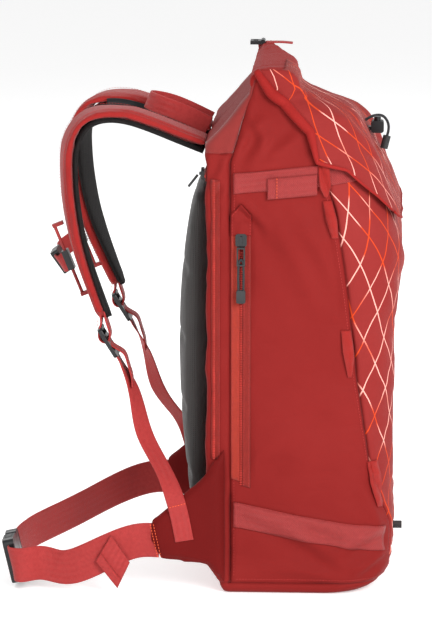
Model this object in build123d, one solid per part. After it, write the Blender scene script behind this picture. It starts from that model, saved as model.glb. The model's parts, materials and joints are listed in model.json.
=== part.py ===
from build123d import *
import os
from functools import lru_cache

# Ski touring backpack with a roll top, a storm flap, a hip belt and ski straps.
# Millimetres. +Z is up, +X is the wearer's right, the wearer stands on the +Y side and
# the outer, patterned face looks along -Y. The origin is in the flat base.

# Bag
BAG_WIDTH = 274
BAG_DEPTH = 202
BAG_TOP = 540
WALL = 3
BACK_Y = 98
FRONT_CORNER = 60
REAR_CORNER = 6
BASE_FRONT_RADIUS = 42
BASE_EDGE_RADIUS = 10
BASE_HEIGHT = 12
HEEL_CUT = (20, 31)
POCKET_BULGE = 8
YOKE_DROP = 52
YOKE_Y = 52
MOUTH_FRONT_Y = -4
SHOULDER_TAPER = 18
SHOULDER_HEIGHT = 70
REAR_SEAM_Y = 71
GUSSET_WIDTH = 22

# Lid: the rolled mouth and the storm flap sewn to it
ROLL_HEIGHT = 26
ROLL_RADIUS = 9
ROLL_END_GAP = 2
ROLL_LIFT = 0.5
FLAP_GAP = 2.6
FLAP_THICK = 2.4
FLAP_DROP = 145

# Back pad and frame
PAD_WIDTH = 190
PAD_BOTTOM = 60
PAD_TOP_DROP = 104
PAD_DEPTH = 29
FRAME_SHEET = (200, 1.6)
FRAME_STAY = (22, 3)
FRAME_END_GAP = 8

# Shoulder straps
STRAP_WIDTH = 58
STRAP_TIP_WIDTH = 34
STRAP_THICK = 11
LINING_THICK = 4
STRAP_X = 55
LOCK_X = 99

# Webbing
WEB_THICK = 2
LOAD_WEB = 20
WAIST_WEB = 38
SKI_WEB = 22
LOWER_WEB = 27
RIBBON = 10
RIBBON_THICK = 1.3

# Hip wings
WING_THICK = 11
WING_REACH = 62
WING_TOP = 173

# Side-release buckles: webbing width, length, height across the webbing, thickness
WAIST_BUCKLE = (38, 50, 50, 12)
CHEST_BUCKLE = (20, 34, 28, 8.4)
BUCKLE_CLEARANCE = 0.5

# Ladder locks
LOCK_LENGTH = 36
LOCK_WIDTH = 29
LOCK_THICK = 4
LOCK_PIVOT_FROM_LIP = 11
LOCK_BAR = 4
LOCK_SLOT = 6
BAR_CLEARANCE = 0.4

# Zips
ZIP_TAPE = 20
ZIP_TAPE_THICK = 1.4
SIDE_ZIP_Y = 59
SIDE_ZIP_BOTTOM = 121
SIDE_ZIP_TOP_DROP = 143
ZIP_GARAGE = 30
BACK_ZIP_TAPE = 10
BACK_ZIP_Y = 87
BACK_ZIP_BOTTOM = 158
BACK_ZIP_DROP = 86
SLIDER = (12, 14, 5)
SLIDER_CLEARANCE = 0.3
PULL_CORD = 2.6

# Cord of the tool holder on the flap, and its lock
TOOL_CORD = 3
CORD_LOCK = (15, 14, 13)
PLUNGER_RADIUS = 3.8
PLUNGER_CLEARANCE = 0.3
PLUNGER_HEIGHT = 9
PLUNGER_TRAVEL = 3.5

HALF = BAG_WIDTH / 2
FRONT_Y = BACK_Y - BAG_DEPTH
BULGE_Y = FRONT_Y - POCKET_BULGE
YOKE_Z = BAG_TOP - YOKE_DROP
FAR = 400


def region(*outline):
    """Endless slab across the bag with the given side-view outline, as (y, z) points."""
    face = Plane.YZ * make_face(Polyline(*outline, close=True))
    return extrude(face, amount=FAR, both=True)


def block(low, high):
    """Box between two corners."""
    size = [high[i] - low[i] for i in range(3)]
    middle = [(high[i] + low[i]) / 2 for i in range(3)]
    return Pos(*middle) * Box(*size)


def on_side(side):
    """Half space on the wearer's left (-1) or right (+1)."""
    reach = sorted((0, side * FAR))
    return block((reach[0], -FAR, -FAR), (reach[1], FAR, 2 * FAR))


@lru_cache(maxsize=None)
def bag(grow=0):
    """Solid outer form of the bag, grown by a margin: plan, side and front views crossed."""
    half = HALF + grow
    plan = Pos(0, (BACK_Y + BULGE_Y) / 2) * Rectangle(2 * half, BACK_Y - BULGE_Y + 2 * grow)
    plan = fillet(plan.vertices().group_by(Axis.Y)[0], FRONT_CORNER + grow)
    plan = fillet(plan.vertices().group_by(Axis.Y)[-1], REAR_CORNER + grow)
    side_view = make_face(Polyline(
        (BACK_Y, 0), (FRONT_Y, 0), (FRONT_Y, BAG_TOP - 240), (BULGE_Y, BAG_TOP - 188),
        (BULGE_Y, BAG_TOP - 168), (FRONT_Y - 1, BAG_TOP - 140), (FRONT_Y + 6, BAG_TOP - 116),
        (FRONT_Y + 36, BAG_TOP - 50), (FRONT_Y + 54, BAG_TOP - 18), (MOUTH_FRONT_Y, BAG_TOP),
        (YOKE_Y, BAG_TOP), (BACK_Y, YOKE_Z), close=True))
    toe = side_view.vertices().sort_by_distance((FRONT_Y, 0))[0]
    side_view = fillet(toe, BASE_FRONT_RADIUS)
    if grow:
        side_view = offset(side_view, grow, kind=Kind.INTERSECTION).face()
    shoulder = (half, BAG_TOP - SHOULDER_HEIGHT)
    top = (half - SHOULDER_TAPER, BAG_TOP + grow)
    front_view = make_face(Polyline(
        (-half, -grow), (-shoulder[0], shoulder[1]), (-top[0], top[1]), top, shoulder, (half, -grow),
        close=True))
    front_view = fillet(front_view.vertices().group_by(Axis.Y)[0], BASE_EDGE_RADIUS + grow)
    solid = extrude(plan, amount=2 * FAR, both=True)
    solid &= extrude(Plane.YZ * side_view, amount=FAR, both=True)
    solid &= extrude(Plane.XZ * front_view, amount=FAR, both=True)
    cut, heel = HEEL_CUT
    y, z = BACK_Y - cut + grow, (heel - grow) / 2
    return solid - region((y, -FAR), (y, z), (y + FAR, z + FAR * heel / cut / 2), (y + FAR, -FAR))


def skin(inner, outer, outline, side):
    """Layer lying on one side of the bag, between two heights, inside a side-view outline."""
    return (bag(outer) - bag(inner)) & region(*outline) & on_side(side)


def along(points, values, share):
    """Value at a share of the way along a route whose points carry the given values."""
    marks = [0]
    for i in range(1, len(points)):
        marks.append(marks[-1] + (Vector(points[i]) - Vector(points[i - 1])).length)
    marks = [mark / marks[-1] for mark in marks]
    for i in range(1, len(marks)):
        if share <= marks[i] + 1e-9:
            part = (share - marks[i - 1]) / (marks[i] - marks[i - 1])
            return values[i - 1] * (1 - part) + values[i] * part
    return values[-1]


def band(route, sides, widths, thick, lift=0, stations=18, ends=()):
    """Flat strap: a rectangle lofted along a smooth line, its width turning with sides."""
    line = Spline(*route, tangents=ends)
    sides = [Vector(*side) for side in sides]
    sections = []
    for i in range(stations + 1):
        share = i / stations
        frame = Plane(origin=line @ share, x_dir=along(route, sides, share), z_dir=line % share)
        sections.append(frame * Pos(0, lift) * Rectangle(along(route, widths, share), thick))
    return loft(sections)


# Bag walls

def bag_walls():
    """Sewn panels: one hollow wall, open at the mouth and divided along its seams."""
    walls = bag() - bag(-WALL)
    walls -= block((-FAR, MOUTH_FRONT_Y, BAG_TOP - WALL), (FAR, YOKE_Y, BAG_TOP + 1))
    seam = front_seam()
    base = block((-FAR, -FAR, -1), (FAR, FAR, BASE_HEIGHT))
    front = region((-FAR, BASE_HEIGHT), (-FAR, BAG_TOP + 1), *seam)
    rear = region((REAR_SEAM_Y, BASE_HEIGHT), (REAR_SEAM_Y, YOKE_Z), (FAR, YOKE_Z), (FAR, BASE_HEIGHT))
    top = region((YOKE_Y, YOKE_Z), (YOKE_Y, FAR * 2), (FAR, FAR * 2), (FAR, YOKE_Z))
    middle = block((-HALF + GUSSET_WIDTH, 0, 0), (HALF - GUSSET_WIDTH, FAR, FAR * 2))
    sides = walls - base - front - rear - top
    return {
        "base_panel": walls & base,
        "front_panel": walls & front,
        "rear_panel": walls & rear,
        "top_yoke": walls & top & middle,
        "top_gussets": (walls & top) - middle,
        "left_side_panel": sides & on_side(-1),
        "right_side_panel": sides & on_side(1),
    }


def front_seam():
    """Seam between side and front panels, from the mouth down to the base, as (y, z)."""
    return [(MOUTH_FRONT_Y, BAG_TOP + 1), (-22, BAG_TOP - 67), (-40, BAG_TOP - 119),
            (-54, BAG_TOP - 209), (-66, 234), (-81, 136), (FRONT_Y + 7, 88), (FRONT_Y + 2, 63),
            (FRONT_Y + 2, BASE_HEIGHT)]


def back_pad():
    """Foam back pad: a shallow arch against the rear wall."""
    top = BAG_TOP - PAD_TOP_DROP
    middle = PAD_BOTTOM + 0.55 * (top - PAD_BOTTOM)
    outline = Polyline((BACK_Y + 12, PAD_BOTTOM), (BACK_Y, PAD_BOTTOM), (BACK_Y, top), (BACK_Y + 12, top))
    arch = ThreePointArc((BACK_Y + 12, top), (BACK_Y + PAD_DEPTH, middle), (BACK_Y + 12, PAD_BOTTOM))
    return extrude(Plane.YZ * make_face(outline + arch), amount=PAD_WIDTH / 2, both=True)


def frame_parts():
    """Stiffening sheet and its metal stay, in the sleeve behind the rear wall."""
    face = BACK_Y - WALL
    low = HEEL_CUT[1] + FRAME_END_GAP
    high = YOKE_Z - FRAME_END_GAP
    width, sheet = FRAME_SHEET
    stay_width, stay = FRAME_STAY
    return {
        "frame_sheet": block((-width / 2, face - sheet, low), (width / 2, face, high)),
        "frame_stay": block((-stay_width / 2, face - sheet - stay, low + FRAME_END_GAP),
                            (stay_width / 2, face - sheet, high - FRAME_END_GAP)),
    }


# Lid

ROLL_HALF = HALF - SHOULDER_TAPER - ROLL_END_GAP
ROLL_FRONT_Y = MOUTH_FRONT_Y - 1
ROLL_BACK_Y = YOKE_Y - 5
ROLL_TOP = BAG_TOP + ROLL_LIFT + ROLL_HEIGHT


def lid():
    """Rolled mouth lying on the opening, and the storm flap that hangs over the front."""
    roll = block((-ROLL_HALF, ROLL_FRONT_Y, BAG_TOP + ROLL_LIFT), (ROLL_HALF, ROLL_BACK_Y, ROLL_TOP))
    roll = fillet(roll.edges().filter_by(Axis.X), ROLL_RADIUS)
    hem = region((10, FAR * 2), (10, BAG_TOP - 9), (-16, BAG_TOP - 34), (-22, BAG_TOP - 67),
                 (-51, BAG_TOP - 76), (-66, BAG_TOP - 91), (-83, BAG_TOP - 106),
                 (-122, BAG_TOP - FLAP_DROP), (-FAR, BAG_TOP - FLAP_DROP), (-FAR, FAR * 2))
    flap = (bag(FLAP_GAP + FLAP_THICK) - bag(FLAP_GAP)) & hem
    return {"lid_roll": roll, "lid_flap": flap - roll}


def roll_fastener():
    """Webbing tab over the right end of the roll, and the hook that hangs on its pin."""
    tab_x = ROLL_HALF - 8
    back = ROLL_BACK_Y - 6
    tab = block((tab_x - SKI_WEB / 2, 12, ROLL_TOP), (tab_x + SKI_WEB / 2 - 8, back, ROLL_TOP + 1.6))
    ear = Pos(tab_x - 4, ROLL_BACK_Y - 2, ROLL_TOP + 2.6)
    hook = ear * Rot(0, 90, 0) * Cylinder(2.6, 18) + ear * Pos(0, 8, -1) * Box(18, 12, 4)
    hook -= ear * Pos(0, 8, -1) * Box(10, 5, 9)
    return {"roll_tab": tab, "roll_hook": hook}


# Shoulder straps and their webbing

YOKE_SEAM_Z = YOKE_Z - 11


def strap_route(side):
    """Middle line of a shoulder strap, from the yoke over the arch to its lower tip."""
    route = [(STRAP_X, -6, 0), (STRAP_X, 32, 15), (STRAP_X + 3, 67, 29), (STRAP_X + 7, 102, 37),
             (STRAP_X + 11, 132, 30), (STRAP_X + 15, 149, 6), (STRAP_X + 19, 152, -27),
             (STRAP_X + 24, 147, -72), (STRAP_X + 31, 136, -117), (LOCK_X - 6, 120, -157),
             (LOCK_X - 1, 109, -183)]
    return [(side * x, BACK_Y + y, YOKE_SEAM_Z + z) for x, y, z in route]


def strap_sides(side):
    """Width direction at each point of a shoulder strap: it turns a little to the outside."""
    turn = [0, 0, 0.03, 0.08, 0.15, 0.2, 0.22, 0.2, 0.16, 0.1, 0.05]
    return [(1, -side * t, 0) for t in turn]


def strap_widths():
    """Width at each point of a shoulder strap."""
    shares = [1, 1, 1, 1, 1, 1, 0.96, 0.86, 0.66, 0.3, 0]
    return [STRAP_TIP_WIDTH + (STRAP_WIDTH - STRAP_TIP_WIDTH) * share for share in shares]


def shoulder_strap(side):
    """Padded strap and the mesh lining under it."""
    route, sides, widths = strap_route(side), strap_sides(side), strap_widths()
    trim = [width - 4 for width in widths]
    lift = (STRAP_THICK + LINING_THICK) / 2
    outer = band(route, sides, widths, STRAP_THICK)
    lining = band(route, sides, trim, LINING_THICK, lift)
    return outer - bag(), lining - bag() - outer


LOCK_PIVOT = (LOCK_X, BACK_Y + 109, YOKE_SEAM_Z - 202)
LOCK_TILT = 32


def lock_frame(side):
    """Place of a ladder lock: origin on its pivot bar, local Y towards its lip."""
    return Pos(side * LOCK_PIVOT[0], LOCK_PIVOT[1], LOCK_PIVOT[2]) * Rot(90 - LOCK_TILT, 0, 0)


def ladder_lock(side):
    """Plate with a pivot bar between two slots, a grip bar with a third slot, and a raised lip."""
    middle = LOCK_PIVOT_FROM_LIP - LOCK_LENGTH / 2
    plate = fillet(Box(LOCK_WIDTH, LOCK_LENGTH, LOCK_THICK).edges().filter_by(Axis.Z), 4)
    plate = Pos(0, middle) * plate
    for slot_middle in (LOCK_BAR / 2 + LOCK_SLOT / 2, -LOCK_BAR / 2 - LOCK_SLOT / 2,
                        -1.5 * LOCK_BAR - 1.5 * LOCK_SLOT):
        plate -= Pos(0, slot_middle) * Box(LOAD_WEB + 2, LOCK_SLOT, 2 * LOCK_THICK)
    lip = Pos(0, LOCK_PIVOT_FROM_LIP - 1.5, LOCK_THICK / 2 + 0.8) * Box(LOCK_WIDTH - 8, 3, 1.6)
    return lock_frame(side) * (plate + lip)


def end_tab(side):
    """Folded tab: a loop round the lock's pivot bar and the leg that hangs it from the strap."""
    tip = strap_route(side)[-1]
    x, y, z = side * LOCK_PIVOT[0], LOCK_PIVOT[1], LOCK_PIVOT[2]
    inner = LOCK_BAR / 2 * 2 ** 0.5 + BAR_CLEARANCE
    outer = inner + WEB_THICK * 0.8
    bar = Pos(x, y, z) * Rot(0, 90, 0)
    loop = Cylinder(outer, LOAD_WEB) - Cylinder(inner, LOAD_WEB + 1)
    leg = block((x - LOAD_WEB / 2, y - outer, z), (x + LOAD_WEB / 2, y - inner + 0.2, tip[2] + 6))
    padding = band(strap_route(side), strap_sides(side), strap_widths(), STRAP_THICK + 2 * LINING_THICK)
    return bar * loop + (leg - padding - bar * Cylinder(inner, LOAD_WEB + 1))


WING_X = HALF + WING_THICK / 2
WEB_END = (HALF + WING_THICK + 2.5, BACK_Y + 21, 62)


def load_webbing(side):
    """Webbing from the ladder lock down to the hip wing, ending in its sewn loop."""
    start = (LOCK_PIVOT[0], LOCK_PIVOT[1] - 14.6, LOCK_PIVOT[2] - 23.4)
    outer = WEB_END[0]
    route = [start, (LOCK_X + 4, start[1] - 16, start[2] - 34), (LOCK_X + 15, BACK_Y + 66, 172),
             (LOCK_X + 32, BACK_Y + 46, 138), (outer - 2, BACK_Y + 32, 110), (outer, BACK_Y + 26, 88),
             WEB_END]
    sides = [(1, 0, 0), (0.8, 0.5, 0.1), (0.35, 0.9, 0.3), (0.15, 0.92, 0.36), (0, 0.95, 0.3),
             (0, 0.97, 0.2), (0, 0.98, 0.15)]
    route = [(side * x, y, z) for x, y, z in route]
    sides = [(x, side * y, side * z) for x, y, z in sides]
    return band(route, sides, [LOAD_WEB] * len(route), WEB_THICK) - hip_wing_blank(side)


# Hip belt

def hip_wing_blank(side):
    """Padded wing that carries on from the side of the bag."""
    tip = BACK_Y + WING_REACH
    outline = [(REAR_SEAM_Y, 0), (REAR_SEAM_Y, WING_TOP - 4), (BACK_Y + 6, WING_TOP - 41),
               (BACK_Y + 20, WING_TOP - 54), (tip - 5, 87), (tip, 81), (tip - 7, 41), (tip - 12, 36),
               (BACK_Y + 4, 31), (BACK_Y - 9, 28), (BACK_Y - 20, 16), (REAR_SEAM_Y + 7, 0)]
    inner = HALF
    reach = sorted((side * inner, side * (inner + WING_THICK)))
    return region(*outline) & block((reach[0], -FAR, -1), (reach[1], FAR, FAR))


BUCKLE_AT = (-100, BACK_Y + 209, 29.5)
BUCKLE_LEAN = 13


def waist_webbing(side):
    """Belt webbing from inside the wing to the buckle, with its folded tail on the left."""
    tip = BACK_Y + WING_REACH
    half_buckle = WAIST_BUCKLE[1] / 2 + 0.1
    if side < 0:
        route = [(-WING_X, tip - 20, 60), (-WING_X, tip + 6, 60), (-WING_X - 4, tip + 36, 51),
                 (-WING_X - 3, tip + 66, 36), (-WING_X + 4, tip + 92, 28), (-WING_X + 9, tip + 115, 31),
                 (BUCKLE_AT[0] - half_buckle - 14, BUCKLE_AT[1] - 8, BUCKLE_AT[2]),
                 (BUCKLE_AT[0] - half_buckle - 5, BUCKLE_AT[1], BUCKLE_AT[2]),
                 (BUCKLE_AT[0] - half_buckle, BUCKLE_AT[1], BUCKLE_AT[2])]
    else:
        route = [(WING_X, tip - 20, 60), (WING_X, tip + 8, 60), (WING_X - 14, tip + 44, 52),
                 (85, tip + 84, 40), (35, tip + 118, 33), (-20, BUCKLE_AT[1] - 4, 30),
                 (BUCKLE_AT[0] + half_buckle + 8, BUCKLE_AT[1], BUCKLE_AT[2]),
                 (BUCKLE_AT[0] + half_buckle, BUCKLE_AT[1], BUCKLE_AT[2])]
    sides = [(0, 0, 1)] * (len(route) - 2) + [(0, 0.225, 0.974)] * 2
    strap = band(route, sides, [WAIST_WEB] * len(route), WEB_THICK, ends=((0, 1, 0), (-side, 0, 0)))
    if side < 0:
        tail = region((tip + 38, 67), (tip + 18, 37), (tip + 31, 9), (tip + 54, 39))
        tail &= block((-WING_X - 9, 0, 0), (-WING_X - 3, FAR, FAR))
        strap += tail
    return strap


def buckle_frame(at, lean):
    """Place of a side-release buckle: X along the webbing, local Y across it."""
    return Pos(*at) * Rot(90 - lean, 0, 0)


def side_release_buckle(size, frame):
    """Socket, plug and the plug's two latch arms. The socket is on the -X side."""
    web, length, height, thick = size
    gap = BUCKLE_CLEARANCE
    socket_length = 0.62 * length
    plug_length = length - socket_length - gap
    wall = 0.18 * thick
    cavity = thick - 2 * wall
    rim = 0.08 * height
    root = length / 2 - plug_length
    mouth = root - gap
    back = -length / 2
    window_low = mouth - 0.62 * socket_length
    window_high = mouth - 0.1 * socket_length
    socket = block((back, -height / 2, -thick / 2), (mouth, height / 2, thick / 2))
    socket = fillet(socket.edges().filter_by(Axis.Z), 0.12 * height)
    hollow_end = mouth - 0.72 * socket_length
    socket -= block((hollow_end, -height / 2 + rim, -cavity / 2), (mouth + 1, height / 2 - rim, cavity / 2))
    socket -= block((window_low, -height, -cavity / 2), (window_high, height, cavity / 2))
    web_slot = block((back + 1.2, -web / 2 - 0.5, -cavity / 2), (back + 3.6, web / 2 + 0.5, thick))
    socket -= web_slot
    plug = block((root, -height / 2, -thick / 2), (length / 2, height / 2, thick / 2))
    plug = fillet(plug.edges().filter_by(Axis.Z), 0.1 * height)
    plug -= block((length / 2 - 3.6, -web / 2 - 0.5, -cavity / 2), (length / 2 - 1.2, web / 2 + 0.5, thick))
    tongue_end = mouth - 0.6 * socket_length
    plug += block((tongue_end, -0.08 * height, -cavity / 2 + gap), (root, 0.08 * height, cavity / 2 - gap))
    arm_inner = 0.26 * height
    arm_outer = height / 2 - rim - gap
    low, high = -cavity / 2 + gap, cavity / 2 - gap
    arm = block((window_low + gap, arm_inner, low), (root - gap, arm_outer - 2 * gap, high))
    arm += block((window_low + 3 * gap, arm_inner, low), (window_high - 3 * gap, height / 2, high))
    return {
        "socket": frame * socket,
        "plug": frame * plug,
        "latch_upper": frame * arm,
        "latch_lower": frame * mirror(arm, about=Plane.XZ),
    }


# Chest strap

RAIL_SLOPE = 22
RAIL_AT = (STRAP_X + 28, BACK_Y + 149, YOKE_SEAM_Z - 122)
RAIL_LENGTH = 84
RAIL_RADIUS = 1.8
CHEST_BUCKLE_AT = (-32, BACK_Y + 161, YOKE_SEAM_Z - 131)
CHEST_LEAN = 35


def rail_frame(side):
    """Middle of a chest-strap rail, local Z along the rail."""
    return Pos(side * RAIL_AT[0], RAIL_AT[1], RAIL_AT[2]) * Rot(-RAIL_SLOPE, 0, 0)


def chest_rails():
    """Rail on each shoulder strap, with the feet that hold it off the padding."""
    rails = []
    for side in (-1, 1):
        rail = Cylinder(RAIL_RADIUS, RAIL_LENGTH)
        for end in (-1, 1):
            rail += Pos(0, -4, end * (RAIL_LENGTH / 2 - 2)) * Box(7, 12, 4)
        rail = rail_frame(side) * rail
        padding = band(strap_route(side), strap_sides(side), strap_widths(), STRAP_THICK)
        rails.append(rail - padding)
    return rails[0] + rails[1]


def chest_sliders():
    """Clip round each rail, with the slot that the chest webbing is sewn through."""
    clips = []
    for side in (-1, 1):
        clip = Pos(-side * 3, 0.5, 0) * Box(14, 7, 22)
        clip -= Cylinder(RAIL_RADIUS + SLIDER_CLEARANCE, 40)
        clips.append(rail_frame(side) * clip)
    return clips[0] + clips[1]


def chest_webbing(side):
    """Webbing from a rail clip to its half of the chest buckle."""
    start = Vector(side * (RAIL_AT[0] - 10), RAIL_AT[1] + 0.5, RAIL_AT[2])
    end = Vector(CHEST_BUCKLE_AT[0] + side * (CHEST_BUCKLE[1] / 2 + 0.1), *CHEST_BUCKLE_AT[1:])
    inward = Vector(-side * 6, 0, 0)
    middle = (start + end) / 2 + Vector(0, 2 if side < 0 else 10, -4)
    route = [start, start + inward, middle, end - inward, end]
    sides = [(0, 0.37, 0.93), (0, 0.37, 0.93), (0, 0.47, 0.88), (0, 0.57, 0.82), (0, 0.57, 0.82)]
    return band(route, sides, [LOAD_WEB] * len(route), WEB_THICK, ends=(inward, inward))


# Webbing and trims on the bag

def strip(front, back, low_front, low_back, height):
    """Side-view outline of a strip from the rear seam to the front, as (y, z) corners."""
    return [(front, low_front), (back, low_back), (back, low_back + height), (front, low_front + height)]


def ski_straps(side):
    """Upper webbing with its sewn-over tail, and the wider lower webbing."""
    upper = strip(-62, REAR_SEAM_Y - 5, BAG_TOP - 90, BAG_TOP - 103, SKI_WEB)
    tail = strip(-21, 31, BAG_TOP - 103, BAG_TOP - 108, SKI_WEB)
    lower = strip(-94, REAR_SEAM_Y - 5, 45, 75, LOWER_WEB)
    top = skin(0, WEB_THICK, upper, side) + skin(WEB_THICK, 2 * WEB_THICK, tail, side)
    return top, skin(0, WEB_THICK, lower, side)


def gear_loops():
    """Ribbon loops sewn over both front seams: one over each ski strap, the rest on the bag."""
    over = [(-17, BAG_TOP - 71), (-17 - RIBBON, BAG_TOP - 71), (-38, BAG_TOP - 100), (-33, BAG_TOP - 102)]
    loops = []
    for side in (-1, 1):
        loops.append(skin(WEB_THICK, WEB_THICK + RIBBON_THICK, over, side))
        for y_top, z_top, y_end, z_end in ((-25, BAG_TOP - 104, -38, BAG_TOP - 145),
                                           (-48, 290, -56, 240), (-77, 145, -87, 94)):
            ribbon = [(y_top, z_top), (y_top - RIBBON, z_top - 3), (y_end - RIBBON / 2, z_end),
                      (y_end, z_end)]
            loops.append(skin(0, RIBBON_THICK, ribbon, side))
    return sum(loops[1:], loops[0])


def haul_loop():
    """Carrying loop of folded webbing, standing out between the shoulder straps."""
    legs = STRAP_X - STRAP_WIDTH / 2 - 6
    z = YOKE_SEAM_Z + 15
    route = [(-legs, BACK_Y + 0.5, z), (-legs, BACK_Y + 26, z + 12), (-legs * 0.9, BACK_Y + 50, z + 21),
             (0, BACK_Y + 68, z + 26), (legs * 0.9, BACK_Y + 50, z + 21), (legs, BACK_Y + 26, z + 12),
             (legs, BACK_Y + 0.5, z)]
    upright = (0, -0.4, 0.92)
    loop = band(route, [upright] * len(route), [LOAD_WEB] * len(route), WEB_THICK, stations=24)
    return loop - bag()


# Zips

def side_zip():
    """Tape of the left side pocket, with the small roof over its upper end."""
    top = BAG_TOP - SIDE_ZIP_TOP_DROP
    left, right = SIDE_ZIP_Y - ZIP_TAPE / 2, SIDE_ZIP_Y + ZIP_TAPE / 2
    tape = skin(0, ZIP_TAPE_THICK, [(left, SIDE_ZIP_BOTTOM - 6), (left, top + ZIP_GARAGE - 6),
                                    (SIDE_ZIP_Y, top + ZIP_GARAGE), (right, top + 6),
                                    (right, SIDE_ZIP_BOTTOM)], -1)
    return tape


SIDE_SLIDER_Z = BAG_TOP - SIDE_ZIP_TOP_DROP - 9
PULL_X = -(HALF + ZIP_TAPE_THICK + SLIDER[2] + 0.8)


def cord_tube(name, corners, radii, diameter):
    """Round cord on a rounded route; prints its radii and how its volume compares with its length."""
    line = FilletPolyline(*corners, radius=radii)
    section = Plane(line @ 0, z_dir=line % 0) * Circle(diameter / 2)
    tube = sweep(section, line)
    share = tube.volume / (section.area * line.length)
    print(name, "radii", [round(radius, 1) for radius in radii], "length", round(line.length, 1),
          "volume over section times length", round(share, 4))
    return tube, line


def zip_slider(width, height, thick):
    """Slider body with the bridge that holds its puller, thickness along +Z from zero."""
    body = Pos(0, 0, SLIDER_CLEARANCE + thick * 0.3) * Box(width, height, thick * 0.6)
    body = fillet(body.edges().filter_by(Axis.Z), 0.25 * width)
    bridge = Pos(0, 0, SLIDER_CLEARANCE + thick * 0.6 + 1.1) * Box(2.4, height * 0.6, 2.2)
    bridge -= Pos(0, -1, SLIDER_CLEARANCE + thick * 0.6 + 0.6) * Box(4, height * 0.3, 1.4)
    return body + bridge


def side_slider():
    """Slider of the side zip."""
    seat = Pos(-HALF - ZIP_TAPE_THICK, SIDE_ZIP_Y, SIDE_SLIDER_Z) * Rot(0, 0, -90) * Rot(90, 0, 0)
    return seat * zip_slider(*SLIDER)


def side_pull():
    """Ring on the slider, folded cord through it and the moulded grip on the cord's ends."""
    ring_z = SIDE_SLIDER_Z - 17
    across = Rot(0, 90, 0)
    ring = Pos(PULL_X, SIDE_ZIP_Y, ring_z) * across * (Box(20, 9, 3.4) - Box(16.5, 5.5, 5))
    spread = 2.6
    crown = ring_z - 6.4
    grip_top = ring_z - 36
    corners = [(PULL_X, SIDE_ZIP_Y - spread, grip_top), (PULL_X, SIDE_ZIP_Y - spread, crown - spread),
               (PULL_X, SIDE_ZIP_Y, crown), (PULL_X, SIDE_ZIP_Y + spread, crown - spread),
               (PULL_X, SIDE_ZIP_Y + spread, grip_top)]
    cord, line = cord_tube("side zip cord", corners, [2.6, 1.4, 2.6], PULL_CORD)
    grip = Pos(PULL_X, SIDE_ZIP_Y, grip_top - 7) * Box(5, 9.6, 14)
    grip = fillet(grip.edges().filter_by(Axis.X), 2)
    return ring - cord, cord, grip


def back_zip():
    """Tape of the back opening: up one side, across under the yoke and down the other."""
    z = BAG_TOP - BACK_ZIP_DROP
    rails = [skin(0, ZIP_TAPE_THICK, [(BACK_ZIP_Y - 5, BACK_ZIP_BOTTOM), (BACK_ZIP_Y + 4, BACK_ZIP_BOTTOM),
                                      (BACK_ZIP_Y + 4, z - 40), (BACK_ZIP_Y - 5, z - 40)], side)
             for side in (-1, 1)]
    reach, half_tape = HALF - 10, BACK_ZIP_TAPE / 2
    top = block((-reach, BACK_Y, z - half_tape), (reach, BACK_Y + ZIP_TAPE_THICK, z + half_tape))
    return rails[0] + rails[1] + top


BACK_SLIDER_AT = (-HALF + 30, BACK_Y + ZIP_TAPE_THICK, BAG_TOP - BACK_ZIP_DROP)
BACK_PULL_TILT = 38


def back_slider():
    """Slider of the back zip, on the run across the yoke."""
    return Pos(*BACK_SLIDER_AT) * Rot(-90, 0, 0) * Rot(0, 0, 90) * zip_slider(*SLIDER)


def back_pull():
    """Moulded tab hanging out from the back slider."""
    tab = Pos(0, 0, -9) * Box(6, 2.4, 16)
    tab = fillet(tab.edges().filter_by(Axis.Y), 2)
    at = Pos(BACK_SLIDER_AT[0], BACK_SLIDER_AT[1] + SLIDER[2] + 1.6, BACK_SLIDER_AT[2] - 1)
    return at * Rot(BACK_PULL_TILT, 0, 0) * tab


# Tool holder

LOCK_Z = BAG_TOP - 50
LOCK_BACK_Y = FRONT_Y + 36 - FLAP_GAP - FLAP_THICK - 2.2
CORD_LOCK_AT = (0, LOCK_BACK_Y - CORD_LOCK[1] / 2 - 1, LOCK_Z)


def tool_holder():
    """Cord over the flap, its sprung lock and the knob that ends the cord."""
    width, depth, height = CORD_LOCK
    body = Pos(*CORD_LOCK_AT) * Box(width, depth, height)
    body = fillet(body.edges().filter_by(Axis.X), 3)
    foot = block((-4, CORD_LOCK_AT[1], LOCK_Z - 4), (4, CORD_LOCK_AT[1] + 20, LOCK_Z))
    body += foot - bag(FLAP_GAP + FLAP_THICK)
    floor = LOCK_Z - height / 2 + 2
    bore = Cylinder(PLUNGER_RADIUS + PLUNGER_CLEARANCE, height)
    plunger_low = LOCK_Z + height / 2 - (PLUNGER_HEIGHT - PLUNGER_TRAVEL - 1)
    plunger_x = -2
    centre = CORD_LOCK_AT[1]
    body -= Pos(plunger_x, centre, floor + height / 2) * bore
    plunger = Cylinder(PLUNGER_RADIUS, PLUNGER_HEIGHT)
    plunger = Pos(plunger_x, centre, plunger_low + PLUNGER_HEIGHT / 2) * plunger
    spring_height = plunger_low - floor
    spring = Pos(plunger_x, centre, floor + spring_height / 2) * (
        Cylinder(PLUNGER_RADIUS - 0.4, spring_height) - Cylinder(PLUNGER_RADIUS - 1.4, spring_height))
    return {"cord_lock_body": body, "cord_lock_plunger": plunger, "cord_lock_spring": spring}


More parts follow.
